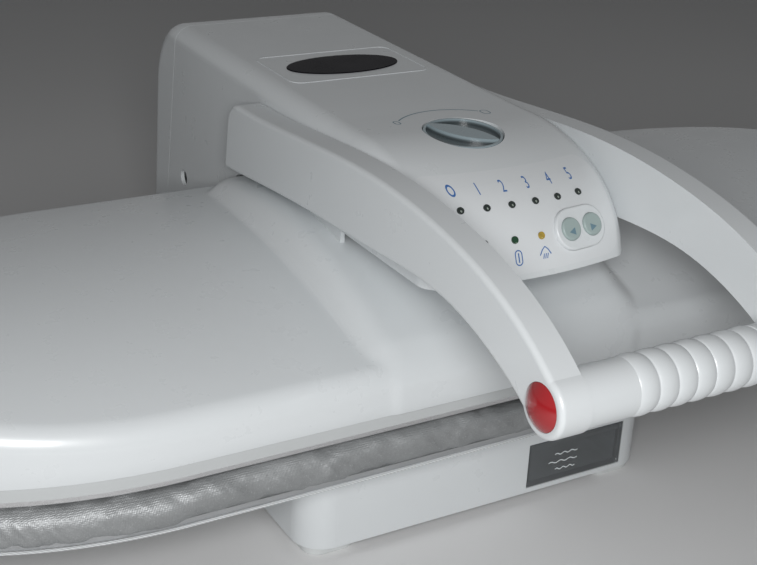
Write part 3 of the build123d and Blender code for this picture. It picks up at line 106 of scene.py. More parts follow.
class Network:
    """A node tree under construction, with one method that adds any node."""

    def __init__(self, tree):
        self.tree = tree

    def feed(self, socket, value):
        """Gives a socket a constant, or a link where the value varies."""
        if isinstance(value, Number):
            self.tree.links.new(value.socket, socket)
        else:
            socket.default_value = value

    def node(self, kind, settings=None, values=None, output=0):
        """Adds a node: its settings first, then the values or links of its sockets."""
        made = self.tree.nodes.new(kind)
        for name, value in (settings or {}).items():
            setattr(made, name, value)
        for name, value in (values or {}).items():
            self.feed(made.inputs[name], value)
        return Number(self, made.outputs[output])

    def math(self, operation, first, second=0.0):
        return self.node("ShaderNodeMath", {"operation": operation}, {0: first, 1: second})


class Finish(Network):
    """A material under construction, with one shader."""

    def __init__(self, name, **constants):
        self.material = bpy.data.materials.new(name)
        self.material.use_nodes = True
        super().__init__(self.material.node_tree)
        self.shader = self.tree.nodes["Principled BSDF"]
        for socket, value in constants.items():
            self.set(socket.replace("_", " "), value)

    def set(self, socket, value):
        self.feed(self.shader.inputs[socket], value)

    def place(self):
        """The point on the piece, in metres from the origin."""
        return self.node("ShaderNodeTexCoord", output="Object")

    def noise(self, scale, detail=2.0, roughness=0.5, vector=None):
        values = {"Scale": scale, "Detail": detail, "Roughness": roughness}
        values["Vector"] = vector or self.place()
        return self.node("ShaderNodeTexNoise", values=values)

    def mix(self, factor, first, second):
        """A colour between two colours."""
        return self.node("ShaderNodeMix", {"data_type": "RGBA"},
                         {"Factor": factor, 6: first, 7: second}, output=2)

    def span(self, value, low, high, low_out=0.0, high_out=1.0):
        """A value carried smoothly from one range to another."""
        return self.node("ShaderNodeMapRange", {"interpolation_type": "SMOOTHSTEP"}, {
            "Value": value, "From Min": low, "From Max": high,
            "To Min": low_out, "To Max": high_out})

    def tint(self, factor, colour, low, high):
        """Base colour between two shares of one colour."""
        self.set("Base Color", self.mix(factor, shaded(colour, low), shaded(colour, high)))

    def gloss(self, value, low, high, start=0.3, end=0.7):
        """Roughness that follows the middle range of a noise."""
        self.set("Roughness", self.span(value, start, end, low, high))

    def bump(self, height, distance):
        self.set("Normal", self.node("ShaderNodeBump", values={
            "Height": height, "Distance": distance}))


def shaded(colour, share):
    """An opaque colour made lighter or darker by a share of itself."""
    return (*(min(channel * share, 1.0) for channel in colour), 1.0)


def moulded_plastic(name, colour, roughness, grain, coat=0.0, shine=0.5):
    """Injection-moulded plastic: a slight cloudiness, uneven gloss and a faintly uneven skin."""
    finish = Finish(name, IOR=1.5, Coat_Weight=coat, Coat_Roughness=0.12, Specular_IOR_Level=shine)
    finish.tint(finish.noise(9.0, 3.0), colour, 0.965, 1.02)
    finish.gloss(finish.noise(55.0, 4.0, 0.6), roughness * 0.88, roughness * 1.14)
    finish.bump(finish.noise(160.0, 2.0), grain * MM)
    return finish.material


def scooped_plastic(name, colour):
    """The dial's plastic, with painted shade that makes it darker down in its scoops than on its rim
    and grip.
    """
    finish = Finish(name, IOR=1.5, Coat_Weight=0.3, Coat_Roughness=0.12)
    apart = finish.node("ShaderNodeSeparateXYZ", values={"Vector": finish.place()})
    across = Number(finish, apart.socket.node.outputs["Y"]) - dial_seat.y
    height = Number(finish, apart.socket.node.outputs["Z"]) - dial_seat.z
    level = height * math.cos(dial_lean) - across * math.sin(dial_lean)
    scoop_floor, scoop_edge = dial_rim_height - 1.9 * MM, dial_rim_height - 0.3 * MM
    # painted shade: below the rim the colour falls to a dark share of itself, for the shade that falls
    # in the scoops
    depth = finish.span(level, scoop_floor, scoop_edge)
    cloud = finish.noise(40.0, 3.0)
    pale = finish.mix(cloud, shaded(colour, 0.94), shaded(colour, 1.08))
    finish.set("Base Color", finish.mix(depth, shaded(colour, 0.22), pale))
    finish.gloss(cloud, 0.26, 0.36)
    return finish.material


def plated_metal(name, colour, roughness, scratch):
    """Bright or zinc-plated steel with faint drawn lines along X."""
    finish = Finish(name, Metallic=1.0)
    lengthwise = finish.node("ShaderNodeMapping", values={
        "Vector": finish.place(), "Scale": (40.0, 900.0, 900.0)})
    lines = finish.noise(1.0, 3.0, 0.6, lengthwise)
    finish.tint(lines, colour, 0.86, 1.06)
    finish.gloss(lines, roughness * 0.8, roughness * 1.3)
    finish.bump(lines, scratch * MM)
    return finish.material


def silver_fabric(name, colour):
    """Aluminised cloth: a close weave, scattered bright flecks and soft blotches."""
    finish = Finish(name, Metallic=0.55, Specular_IOR_Level=0.6)
    threads = [finish.node("ShaderNodeTexWave", {"bands_direction": direction}, {
        "Vector": finish.place(), "Scale": 420.0, "Distortion": 1.2, "Detail": 1.0})
        for direction in "XYZ"]
    weave = (threads[0] + threads[1] + threads[2]) / 3.0
    blotch = finish.noise(34.0, 4.0, 0.6)
    fleck = finish.span(finish.noise(1500.0, 2.0, 0.7), 0.60, 0.74)
    base = finish.mix(blotch, shaded(colour, 0.80), shaded(colour, 1.16))
    finish.set("Base Color", finish.mix(fleck * 0.55, base, shaded(colour, 2.0)))
    finish.set("Roughness", finish.span(blotch, 0.3, 0.7, 0.40, 0.54) - fleck * 0.14)
    finish.bump(weave * 0.6 + finish.noise(260.0, 3.0, 0.6) * 1.4, 0.22 * MM)
    return finish.material


def woven_tape(name, colour):
    """Narrow pale tape with a fine twill."""
    finish = Finish(name, Specular_IOR_Level=0.3, Roughness=0.75)
    twill = finish.node("ShaderNodeTexWave", {"bands_direction": "DIAGONAL"}, {
        "Vector": finish.place(), "Scale": 300.0, "Distortion": 0.6})
    finish.tint(twill, colour, 0.82, 1.12)
    finish.bump(twill, 0.10 * MM)
    return finish.material


def clear_lens(name, colour, roughness):
    """A lamp's coloured lens: glossy, with a colour of uneven depth."""
    finish = Finish(name, IOR=1.5, Coat_Weight=0.6, Coat_Roughness=0.05, Roughness=roughness)
    finish.tint(finish.noise(420.0, 1.0), colour, 0.7, 1.3)
    return finish.material


def smoked_plastic(name, colour):
    """The tank's dark see-through plastic, a little hazy with fine lime marks."""
    finish = Finish(name, IOR=1.49, Transmission_Weight=0.82)
    haze = finish.noise(60.0, 4.0, 0.65)
    finish.tint(haze, colour, 0.75, 1.25)
    finish.gloss(haze, 0.05, 0.16, 0.35, 0.75)
    finish.bump(finish.noise(18.0, 2.0), 0.35 * MM)
    return finish.material


def rubber(name, colour):
    """Matt rubber with a worn, pitted skin."""
    finish = Finish(name, Specular_IOR_Level=0.35)
    wear = finish.noise(90.0, 4.0, 0.6)
    finish.tint(wear, colour, 0.85, 1.25)
    finish.gloss(wear, 0.55, 0.75)
    finish.bump(finish.noise(1200.0, 2.0), 0.05 * MM)
    return finish.material


def circuit(name, colour):
    """A printed board: green lacquer over lighter copper tracks."""
    finish = Finish(name, Coat_Weight=0.3, Roughness=0.4)
    tracks = finish.node("ShaderNodeTexBrick", values={
        "Vector": finish.place(), "Scale": 90.0, "Color1": (0, 0, 0, 1), "Color2": (0, 0, 0, 1),
        "Mortar": (1, 1, 1, 1), "Mortar Size": 0.03}, output="Fac")
    finish.tint(tracks, colour, 1.0, 1.9)
    return finish.material


def printed_ink(name, colour):
    """Thin print with a slightly uneven cover."""
    finish = Finish(name)
    cover = finish.noise(900.0, 2.0)
    finish.tint(cover, colour, 1.0, 1.25)
    finish.gloss(cover, 0.40, 0.55)
    return finish.material


def foam(name, colour):
    """Open foam with fine cells."""
    finish = Finish(name, Specular_IOR_Level=0.2, Roughness=0.95)
    cells = finish.noise(700.0, 3.0, 0.7)
    finish.tint(cells, colour, 0.75, 1.1)
    finish.bump(cells, 0.3 * MM)
    return finish.material


def colour_property(label, value):
    return bpy.props.FloatVectorProperty(
        name=label, description=f"Colour of the {label.lower()}", subtype="COLOR",
        size=3, min=0.0, max=1.0, default=value)


def length_property(label, value):
    return bpy.props.FloatProperty(
        name=label, description=f"{label}, a length", unit="LENGTH", subtype="DISTANCE",
        precision=5, default=value)


def count_property(label, value):
    return bpy.props.IntProperty(name=label, description=label, default=value, min=1)


class PressColours(bpy.types.PropertyGroup):
    """Colours of the press's pieces, as they look in plain light."""

    white_plastic: colour_property("White plastic", (0.70, 0.73, 0.745))
    panel_plastic: colour_property("Control panel", (0.72, 0.745, 0.76))
    pale_grey_plastic: colour_property("Insulating band", (0.52, 0.54, 0.545))
    grey_plastic: colour_property("Grey plastic", (0.22, 0.23, 0.24))
    silver_cloth: colour_property("Padded cover", (0.33, 0.34, 0.345))
    binding: colour_property("Cover binding", (0.62, 0.64, 0.65))
    dial: colour_property("Steam dial", (0.30, 0.37, 0.40))
    keys: colour_property("Keys", (0.36, 0.44, 0.43))
    button: colour_property("Steam buttons", (0.34, 0.012, 0.016))
    badge: colour_property("Badge blank", (0.004, 0.003, 0.006))
    ink: colour_property("Panel signs", (0.035, 0.13, 0.36))
    arc_ink: colour_property("Dial arc", (0.13, 0.22, 0.27))
    tank: colour_property("Water tank", (0.44, 0.47, 0.49))
    green_lamp: colour_property("Green lamp", (0.005, 0.050, 0.018))
    amber_lamp: colour_property("Amber lamp", (0.42, 0.29, 0.04))
    dark_lamp: colour_property("Dark lamps", (0.010, 0.020, 0.016))


class PressSizes(bpy.types.PropertyGroup):
    """Sizes of the dressed pieces."""

    wing_half_width: length_property("Wing half width", 118.5 * MM)
    wing_end: length_property("Wing end length", 172.0 * MM)
    wing_height: length_property("Wing crown height", 143.2 * MM)
    wing_crown_y: length_property("Wing crown place", 37.0 * MM)
    wing_crown_radius: length_property("Wing crown radius", 440.0 * MM)
    wing_edge_radius: length_property("Wing edge radius", 9.0 * MM)
    hump_half_width: length_property("Raised middle half width", 88.0 * MM)
    hump_front: length_property("Raised middle front", -121.0 * MM)
    hump_rear: length_property("Raised middle rear", 107.0 * MM)
    hump_height: length_property("Raised middle height", 156.0 * MM)
    hump_crown_y: length_property("Raised middle crown place", 25.0 * MM)
    hump_crown_radius: length_property("Raised middle crown radius", 288.0 * MM)
    hump_edge_radius: length_property("Raised middle edge radius", 18.0 * MM)
    wall: length_property("Shell wall", 2.5 * MM)
    board_end: length_property("Board end length", 174.0 * MM)
    rib_height: length_property("Grip rib height", 0.6 * MM)
    rib_pitch: length_property("Grip rib pitch", 10.5 * MM)
    rib_count: count_property("Grip ribs", 7)


def colours():
    return bpy.context.scene.press_colours


def sizes():
    return bpy.context.scene.press_sizes


def add_piece(name, mesh, body, material, sharp=0.0):
    """Puts a finished mesh in the scene as a piece that rides on a body."""
    piece = bpy.data.objects.new(name, mesh)
    bpy.context.scene.collection.objects.link(piece)
    mesh.materials.clear()
    mesh.materials.append(material)
    if sharp:
        mesh.shade_smooth()
        mesh.set_sharp_from_angle(angle=math.radians(sharp))
    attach(piece, body)
    return piece


def mesh_from(name, points, faces):
    mesh = bpy.data.meshes.new(name)
    mesh.from_pydata([tuple(point) for point in points], [], faces)
    mesh.update()
    return mesh


@contextmanager
def edited(mesh):
    """Opens a mesh for editing and writes it back at the end."""
    work = bmesh.new()
    work.from_mesh(mesh)
    yield work
    work.to_mesh(mesh)
    work.free()


def cleaned(mesh):
    """Merges doubles and turns every face outwards."""
    with edited(mesh) as work:
        bmesh.ops.remove_doubles(work, verts=work.verts, dist=0.01 * MM)
        bmesh.ops.recalc_face_normals(work, faces=work.faces)
    return mesh


def held_by_object(data):
    """A passing object that carries a mesh or curve while it is worked on."""
    holder = bpy.data.objects.new("holder", data)
    bpy.context.scene.collection.objects.link(holder)
    return holder


def released(holder):
    """The mesh of a passing object, which is removed."""
    mesh = holder.data
    bpy.data.objects.remove(holder)
    return mesh


def plain_mesh(holder):
    """An object's shape as a mesh of its own, with its modifiers in it."""
    graph = bpy.context.evaluated_depsgraph_get()
    return bpy.data.meshes.new_from_object(holder.evaluated_get(graph))


def applied(holder):
    """Applies an object's modifiers, so that only a plain mesh is left."""
    made = plain_mesh(holder)
    holder.modifiers.clear()
    holder.data = made


def with_modifier(holder, kind, **settings):
    """Adds one modifier with its settings and applies it."""
    modifier = holder.modifiers.new(kind.lower(), kind)
    for name, value in settings.items():
        setattr(modifier, name, value)
    applied(holder)


def thickened(mesh, thickness):
    """Gives a skin a wall on its inner side."""
    holder = held_by_object(mesh)
    with_modifier(holder, "SOLIDIFY", thickness=thickness, offset=-1)
    return released(holder)


def ring_faces(first, second, closed=True):
    """Quads between two rings of point numbers."""
    count = len(first)
    last = count if closed else count - 1
    return [
        (first[i], first[(i + 1) % count], second[(i + 1) % count], second[i])
        for i in range(last)
    ]


def stacked(layers, around=False):
    """Points, rings and faces of a skin over layers, joined into a loop where it goes around."""
    points = [point for layer in layers for point in layer]
    starts = np.cumsum([0] + [len(layer) for layer in layers])
    rings = [list(range(start, end)) for start, end in zip(starts, starts[1:])]
    faces = []
    for low, high in zip(rings, rings[1:] + rings[:1] if around else rings[1:]):
        faces += ring_faces(low, high)
    return points, rings, faces


def oval_ring(half_length, half_width, end_length, inset, middle_y, straight_steps, end_steps):
    """Outline with two straight sides and two elliptical ends, drawn in by an inset, as X and Y."""
    straight = half_length - end_length
    run = np.linspace(-straight, straight, straight_steps + 1)[1:-1]
    turn = np.linspace(-math.pi / 2, math.pi / 2, end_steps + 1)
    reach_x = end_length - inset
    reach_y = half_width - inset
    right = np.stack([straight + reach_x * np.cos(turn), reach_y * np.sin(turn)], 1)
    front = np.stack([run, np.full_like(run, -reach_y)], 1)
    ring = np.concatenate([front, right, -front, -right])
    ring[:, 1] += middle_y
    return ring


def soft_max(first, second, blend):
    """The larger of two heights, rounded where they meet."""
    share = np.clip(0.5 + 0.5 * (first - second) / blend, 0, 1)
    return second + (first - second) * share + blend * share * (1 - share)


# The wing of the head, with its raised middle
wing_side_steps = 150
wing_end_steps = 108
wing_edge_rings = 12
wing_top_rings = 46
wing_slot = 0.5 * MM            # half width of what the last ring leaves open
rim_insets = (0.5 * MM, 0.1 * MM, 0.0, 0.0, 0.0)
rim_shares = (0.022, 0.030, 0.05, 0.5, 1.0)
lip_half_width = 78 * MM        # the rim's middle stands proud at the front
lip_fade_x = 4 * MM
lip_fade_inset = 12 * MM
lip_front_y = -100 * MM
lip_proud = 1.0 * MM
hump_corner = 20 * MM
hump_fall = 3.0                 # steepness outside the raised middle's outline
hump_blend = 4.5 * MM
works_half_width = 52 * MM      # the opening over the lever's works
works_front_y = -31 * MM


def crown(y, height, middle, radius):
    """Height of a top that curves along Y."""
    return height - radius + np.sqrt(radius ** 2 - (y - middle) ** 2)


def rounding(depth, radius):
    """How far a rounded upper edge lies below the top, at a depth inside the outline."""
    open_part = np.clip(radius - depth, 0, radius)
    return radius - np.sqrt(radius ** 2 - open_part ** 2)


def hump_depth(x, y):
    """How far a point lies inside the raised middle's rounded outline."""
    size = sizes()
    across = np.abs(x) - size.hump_half_width + hump_corner
    along = np.abs(y - (size.hump_front + size.hump_rear) / 2)
    along = along - (size.hump_rear - size.hump_front) / 2 + hump_corner
    outside = np.hypot(np.maximum(across, 0), np.maximum(along, 0))
    return hump_corner - outside - np.minimum(np.maximum(across, along), 0)


class PRESS_OT_wing(bpy.types.Operator):
    """Makes the wing-shaped cover: skirt, crowned top and raised middle in one shell"""

    bl_idname = "press.wing"
    bl_label = "Wing cover"

    def execute(self, context):
        size = sizes()
        edge = size.wing_edge_radius
        insets = list(rim_insets)
        insets += list(edge * (1 - np.cos(np.linspace(0, math.pi / 2, wing_edge_rings)))[1:])
        insets += list(np.linspace(edge, size.wing_half_width - wing_slot, wing_top_rings)[1:])
        shares = list(rim_shares) + [1.0] * (len(insets) - len(rim_shares))
        layers = [self.layer(inset, share) for inset, share in zip(insets, shares)]
        points, rings, faces = stacked(layers)
        self.close_top(faces, rings[-1])
        mesh = cleaned(mesh_from("wing_cover", points, faces))
        self.open_middle(mesh)
        shell = thickened(mesh, size.wall)
        material = moulded_plastic("white_plastic_wing", colours().white_plastic, 0.30, 0.008, 0.25)
        wing = add_piece("wing_cover", shell, "head", material, 50)
        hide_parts("upper_cover")
        return {"FINISHED"}

    def layer(self, inset, share):
        """Points round the wing at an inset, at a share of the way from the skirt's edge to the top."""
        size = sizes()
        ring = oval_ring(skirt_x, size.wing_half_width, size.wing_end, inset, board_middle_y,
                         wing_side_steps, wing_end_steps)
        x, y = ring[:, 0], ring[:, 1]
        proud = np.clip((lip_half_width - np.abs(x)) / lip_fade_x, 0, 1)
        proud = proud * np.clip(1 - inset / lip_fade_inset, 0, 1)
        y = y - np.where(y < lip_front_y, proud * lip_proud, 0)
        top = crown(y, size.wing_height, size.wing_crown_y, size.wing_crown_radius)
        top = top - rounding(inset, size.wing_edge_radius)
        depth = hump_depth(x, y)
        raised = crown(y, size.hump_height, size.hump_crown_y, size.hump_crown_radius)
        raised = raised - rounding(depth, size.hump_edge_radius)
        raised = np.where(depth < 0, raised + hump_fall * depth, raised)
        top = soft_max(top, raised, hump_blend)
        return list(zip(x, y, skirt_low + (top - skirt_low) * share))

    def close_top(self, faces, ring):
        """Fills the thin slot inside the last ring, from its front side to its rear."""
        count = len(ring)
        half = count // 2
        start = count - wing_end_steps // 2 - 1
        front = [ring[(start + i) % count] for i in range(half + 1)]
        back = [ring[(start - i) % count] for i in range(half + 1)]
        for i in range(half):
            faces.append((front[i], front[i + 1], back[i + 1], back[i]))

    def open_middle(self, mesh):
        """Opens the shell over the lever's works, under the housing."""
        cuts = (((works_half_width, 0, 0), (1, 0, 0)), ((-works_half_width, 0, 0), (1, 0, 0)),
                ((0, works_front_y, 0), (0, 1, 0)))
        with edited(mesh) as work:
            for place, normal in cuts:
                bmesh.ops.bisect_plane(work, geom=work.verts[:] + work.edges[:] + work.faces[:],
                                       plane_co=place, plane_no=normal)
            middles = [(face, face.calc_center_median()) for face in work.faces]
            inner = [face for face, middle in middles
                     if abs(middle.x) < works_half_width and middle.y > works_front_y]
            bmesh.ops.delete(work, geom=inner, context="FACES")


# The padded cover of the ironing board
cover_profile = ((60.6, 11.0), (60.3, 4.5), (60.9, 2.4), (62.6, 1.9), (67.0, 1.5), (71.5, 0.9),
                 (75.6, 0.9), (78.2, 2.4), (79.8, 6.0), (80.4, 11.0))    # heights and insets, in mm
cover_top_z = 80.6 * MM
hem_z = 61.5 * MM               # the cloth is held below it
refined_z = (61 * MM, 80 * MM)  # the side is divided more finely between these heights
held_share = 0.86               # share of the half width where the cloth starts to move
gather_width = 14 * MM
binding_section = ((-0.9, -0.4), (0.4, -0.5), (0.7, 0.0), (0.3, 0.5), (-0.9, 0.4))    # in mm
binding_inset = 1.9
binding_z = 60.5
cloth_steps = 20
board_side_steps = 110
board_end_steps = 96


def ramp(value, start, length):
    """A share from 0 to 1 that grows over a length."""
    return min(max((value - start) / length, 0), 1)


def board_outline(inset):
    return oval_ring(board_high.x, board_half_width, sizes().board_end, inset, board_middle_y,
                     board_side_steps, board_end_steps)


def outward_from_middle(place):
    """From the board's middle line to a point of the cloth, level."""
    straight = board_high.x - sizes().board_end
    middle = math.copysign(min(abs(place.x), straight), place.x)
    return Vector((place.x - middle, place.y - board_middle_y, 0))


def puffed(holder, held, pressure, slack, cap):
    """Lets the cloth settle under its filling; no point moves further than the cap."""
    start = [vertex.co.copy() for vertex in holder.data.vertices]
    group = holder.vertex_groups.new(name="held")
    group.add([i for i, place in enumerate(start) if held(place)], 1.0, "REPLACE")
    cloth = holder.modifiers.new("cloth", "CLOTH")
    cloth.settings.quality = 4
    cloth.settings.mass = 0.2
    cloth.settings.use_pressure = True
    cloth.settings.uniform_pressure_force = pressure
    cloth.settings.shrink_min = -slack
    cloth.settings.bending_stiffness = 0.02
    cloth.settings.vertex_group_mass = "held"
    cloth.settings.effector_weights.gravity = 0.0
    cloth.point_cache.frame_start = 1
    cloth.point_cache.frame_end = cloth_steps
    for step in range(1, cloth_steps + 1):
        bpy.context.scene.frame_set(step)
    applied(holder)
    bpy.context.scene.frame_set(1)
    for vertex, place in zip(holder.data.vertices, start):
        move = vertex.co - place
        if move.length > cap:
            vertex.co = place + move * (cap / move.length)


class PRESS_OT_padded_cover(bpy.types.Operator):
    """Makes the silver padded cover, gathered round the board's edge, and its binding"""

    bl_idname = "press.padded_cover"
    bl_label = "Padded cover"

    def execute(self, context):
        material = silver_fabric("silver_fabric", colours().silver_cloth)
        layers = [[(x, y, height * MM) for x, y in board_outline(inset * MM)]
                  for height, inset in cover_profile]
        points, rings, sides = stacked(layers)
        faces = [tuple(reversed(rings[0])), tuple(rings[-1])] + sides
        pad = held_by_object(cleaned(mesh_from("padded_cover", points, faces)))
        with_modifier(pad, "REMESH", mode="VOXEL", voxel_size=5 * MM)
        puffed(pad, self.held, pressure=3.0, slack=0.04, cap=1.2 * MM)
        with_modifier(pad, "SUBSURF", levels=1, render_levels=1)
        mesh = released(pad)
        self.refine(mesh)
        self.gather(mesh)
        mesh.polygons.foreach_set("use_smooth", [True] * len(mesh.polygons))
        cover = add_piece("padded_cover", mesh, "base", material)
        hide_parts("board_cover", "board_pad")
        self.binding()
        return {"FINISHED"}

    def held(self, place):
        """The hem and the flat middle stay; only the gathered side moves."""
        straight = board_high.x - sizes().board_end
        share = math.hypot(max(abs(place.x) - straight, 0) / sizes().board_end,
                           (place.y - board_middle_y) / (board_high.y - board_middle_y))
        return place.z < hem_z or share < held_share

    def refine(self, mesh):
        """Divides the cloth more finely at the board's side, where it is gathered."""
        rim = board_half_width - gather_width
        with edited(mesh) as work:
            edges = [edge for edge in work.edges
                     if all(outward_from_middle(end.co).length > rim
                            and refined_z[0] < end.co.z < refined_z[1] for end in edge.verts)]
            bmesh.ops.subdivide_edges(work, edges=edges, cuts=1, use_grid_fill=True)

    def gather(self, mesh):
        """Draws the side of the cloth into fine slanting gathers that fade towards the top."""
        for vertex in mesh.vertices:
            place = vertex.co
            outward = outward_from_middle(place)
            side = outward.length / board_half_width
            if side < held_share:
                continue
            turn = math.atan2(outward.y, outward.x)
            around = math.copysign(board_half_width, place.y) * (1 - abs(math.sin(turn))) * 1.5
            run = place.x + around
            lean = (place.z - 70 * MM) * math.copysign(1.0, -place.y)
            sample = Vector((run * 95.0 + lean * 110.0, place.y * 40.0, place.z * 25.0))
            crease = 1 - abs(noise.noise(sample)) * 3.0
            fine = noise.noise(sample * 2.3)
            broad = noise.noise(Vector((run * 26.0 + lean * 30.0, place.y * 16.0, 3.0)))
            ripple = (crease * 0.45 + fine * 0.35 + broad * 0.7) * MM
            low = ramp(place.z, 60.4 * MM, 2 * MM)
            high = 1 - ramp(place.z, 73 * MM, 6.0 * MM)
            edge = ramp(side, 0.9, 0.06)
            vertex.co = place + outward.normalized() * ripple * low * (0.30 + 0.70 * high) * edge
            vertex.co.z = min(vertex.co.z, cover_top_z)

    def binding(self):
        """The pale tape that closes the cover's lower edge."""
        material = woven_tape("binding_tape", colours().binding)
        layers = [[(x, y, (binding_z + up) * MM)
                   for x, y in board_outline((binding_inset - across) * MM)]
                  for across, up in binding_section]
        points, _, faces = stacked(layers, around=True)
        mesh = cleaned(mesh_from("cover_binding", points, faces))
        add_piece("cover_binding", mesh, "base", material, 60)


# The handle's ribbed grip
grip_radius = 13.2 * MM
grip_rings = 420
grip_sides = 96


class Growth(Network):
    """A geometry node tree under construction."""

    def __init__(self, name, inputs):
        super().__init__(bpy.data.node_groups.new(name, "GeometryNodeTree"))
        self.tree.interface.new_socket("Geometry", in_out="OUTPUT", socket_type="NodeSocketGeometry")
        for label, kind in inputs.items():
            self.tree.interface.new_socket(label, in_out="INPUT", socket_type="NodeSocket" + kind)
        self.start = self.tree.nodes.new("NodeGroupInput")
        self.end = self.tree.nodes.new("NodeGroupOutput")

    def value(self, label):
        """A named input."""
        return Number(self, self.start.outputs[label])

    def grown(self, geometry, name, values, material):
        """Finishes the tree, runs it with its inputs set, and returns the plain mesh."""
        real = self.node("GeometryNodeRealizeInstances", values={"Geometry": geometry})
        dressed = self.node("GeometryNodeSetMaterial", values={"Geometry": real, "Material": material})
        self.feed(self.end.inputs[0], dressed)
        holder = held_by_object(bpy.data.meshes.new(name))
        modifier = holder.modifiers.new(name, "NODES")
        modifier.node_group = self.tree
        for item in self.tree.interface.items_tree:
            if item.in_out == "INPUT" and item.name in values:
                modifier[item.identifier] = values[item.name]
        applied(holder)
        return released(holder)


class PRESS_OT_grip(bpy.types.Operator):
    """Makes the ribbed hand grip"""

    bl_idname = "press.grip"
    bl_label = "Hand grip"

    def execute(self, context):
        material = moulded_plastic("grip_plastic", colours().white_plastic, 0.34, 0.010, 0.2)
        labels = ("Half Length", "Radius", "Rib Height", "Rib Pitch", "Rib Count")
        growth = Growth("ribbed_grip", dict.fromkeys(labels, "Float"))
        half_length, radius, height, pitch, count = (growth.value(label) for label in labels)
        line = growth.node("GeometryNodeCurvePrimitiveLine", values={
            "Start": growth.node("ShaderNodeCombineXYZ", values={"X": half_length * -1.0}),
            "End": growth.node("ShaderNodeCombineXYZ", values={"X": half_length})})
        fine = growth.node("GeometryNodeResampleCurve", values={"Curve": line, "Count": grip_rings})
        along = growth.node("ShaderNodeSeparateXYZ", values={
            "Vector": growth.node("GeometryNodeInputPosition")}, output="X")
        ribbed = growth.math("LESS_THAN", growth.math("ABSOLUTE", along), pitch * count * 0.5)
        crest = growth.math("ABSOLUTE", growth.math("COSINE", along / pitch * math.pi)) ** 0.55
        swell = (crest * 2.2 - 1.2) * height * ribbed
        section = growth.node("GeometryNodeCurvePrimitiveCircle", values={
            "Resolution": grip_sides, "Radius": 1.0})
        tube = growth.node("GeometryNodeCurveToMesh", values={
            "Curve": fine, "Profile Curve": section, "Scale": radius + swell})
        size = sizes()
        lengths = (handle_high.x, grip_radius, size.rib_height, size.rib_pitch, float(size.rib_count))
        mesh = growth.grown(tube, "ribbed_grip", dict(zip(labels, lengths)), material)
        mesh.transform(Matrix.Translation((0, handle_axis_y, handle_axis_z)))
        cleaned(mesh)
        grip = add_piece("hand_grip", mesh, "lever", material, 60)
        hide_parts("handle_grip")
        return {"FINISHED"}


# Signs, printed or raised on the construction's surfaces, with their sizes in mm
ready_sign = (-11.5, 167.8)     # X and Z
steam_sign = (4.6, 168.0)
arc_centre = (1.5, -51)         # X and Y
arc_radius = 37.5
badge_middle_y = 86
tank_mark_lines = ((26.5, 46, 62), (21.5, 42, 62), (16.5, 47, 61))    # height, start and end


def ribbon(points, width, closed=False):
    """A flat line of even width along points, as points and faces in a plane."""
    line = np.array(points, float)
    if closed:
        before, after = np.roll(line, 1, 0), np.roll(line, -1, 0)
    else:
        before = np.concatenate([line[:1], line[:-1]])
        after = np.concatenate([line[1:], line[-1:]])
    along = after - before
    along /= np.linalg.norm(along, axis=1)[:, None]
    across = np.stack([-along[:, 1], along[:, 0]], 1) * width / 2
    count = len(line)
    faces = ring_faces(list(range(count)), list(range(count, 2 * count)), closed)
    return np.concatenate([line - across, line + across]), faces


def disc(radius, steps):
    """A filled round spot, as points and one face."""
    turn = np.linspace(0, 2 * math.pi, steps, endpoint=False)
    return radius * np.stack([np.cos(turn), np.sin(turn)], 1), [tuple(range(steps))]


def arc(radius, start, end, steps):
    """Points on an arc; angles in degrees from the X direction."""
    turn = np.radians(np.linspace(start, end, steps))
    return radius * np.stack([np.cos(turn), np.sin(turn)], 1)


def rounded_box(half_width, half_height, corner):
    """Points round a rectangle with rounded corners."""
    corners = []
    for quarter, (sx, sy) in enumerate(((1, 1), (-1, 1), (-1, -1), (1, -1))):
        centre = np.array([sx * (half_width - corner), sy * (half_height - corner)])
        corners.append(centre + arc(corner, 90 * quarter, 90 * quarter + 90, 9))
    ring = np.concatenate(corners)
    filled = []
    for first, second in zip(ring, np.roll(ring, -1, 0)):
        steps = max(int(np.linalg.norm(second - first) / 2.0), 1)
        filled += [first + (second - first) * i / steps for i in range(steps)]
    return np.array(filled)


def moved(shape, across, up):
    """A shape carried to another place in its plane."""
    points, faces = shape
    return np.array(points) + (across, up), faces


def lamp_x(index):
    """Where a lamp stands in its row, in mm."""
    return (index - (lamp_count - 1) / 2) * lamp_pitch


def front_middle(node):
    """The middle of a node as the front shows it, across and up, in mm."""
    low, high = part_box(node)
    return (low.x + high.x) / 2 / MM, (low.z + high.z) / 2 / MM


def numeral(sign, height):
    """A plain number in the built-in font, centred on its own middle."""
    curve = bpy.data.curves.new("numeral", "FONT")
    curve.body = sign
    curve.size = height * 1.4
    curve.resolution_u = 4
    holder = held_by_object(curve)
    mesh = plain_mesh(holder)
    bpy.data.objects.remove(holder)
    with edited(mesh) as work:
        bmesh.ops.subdivide_edges(work, edges=work.edges, cuts=3, use_grid_fill=True)
    points = np.array([vertex.co[:2] for vertex in mesh.vertices])
    points -= (points.min(0) + points.max(0)) / 2
    return points, [tuple(polygon.vertices) for polygon in mesh.polygons]


def surface_of(node):
    """A search tree over the mesh of one of the construction's nodes."""
    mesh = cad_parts[node].data
    return BVHTree.FromPolygons([vertex.co for vertex in mesh.vertices],
                                [tuple(polygon.vertices) for polygon in mesh.polygons])


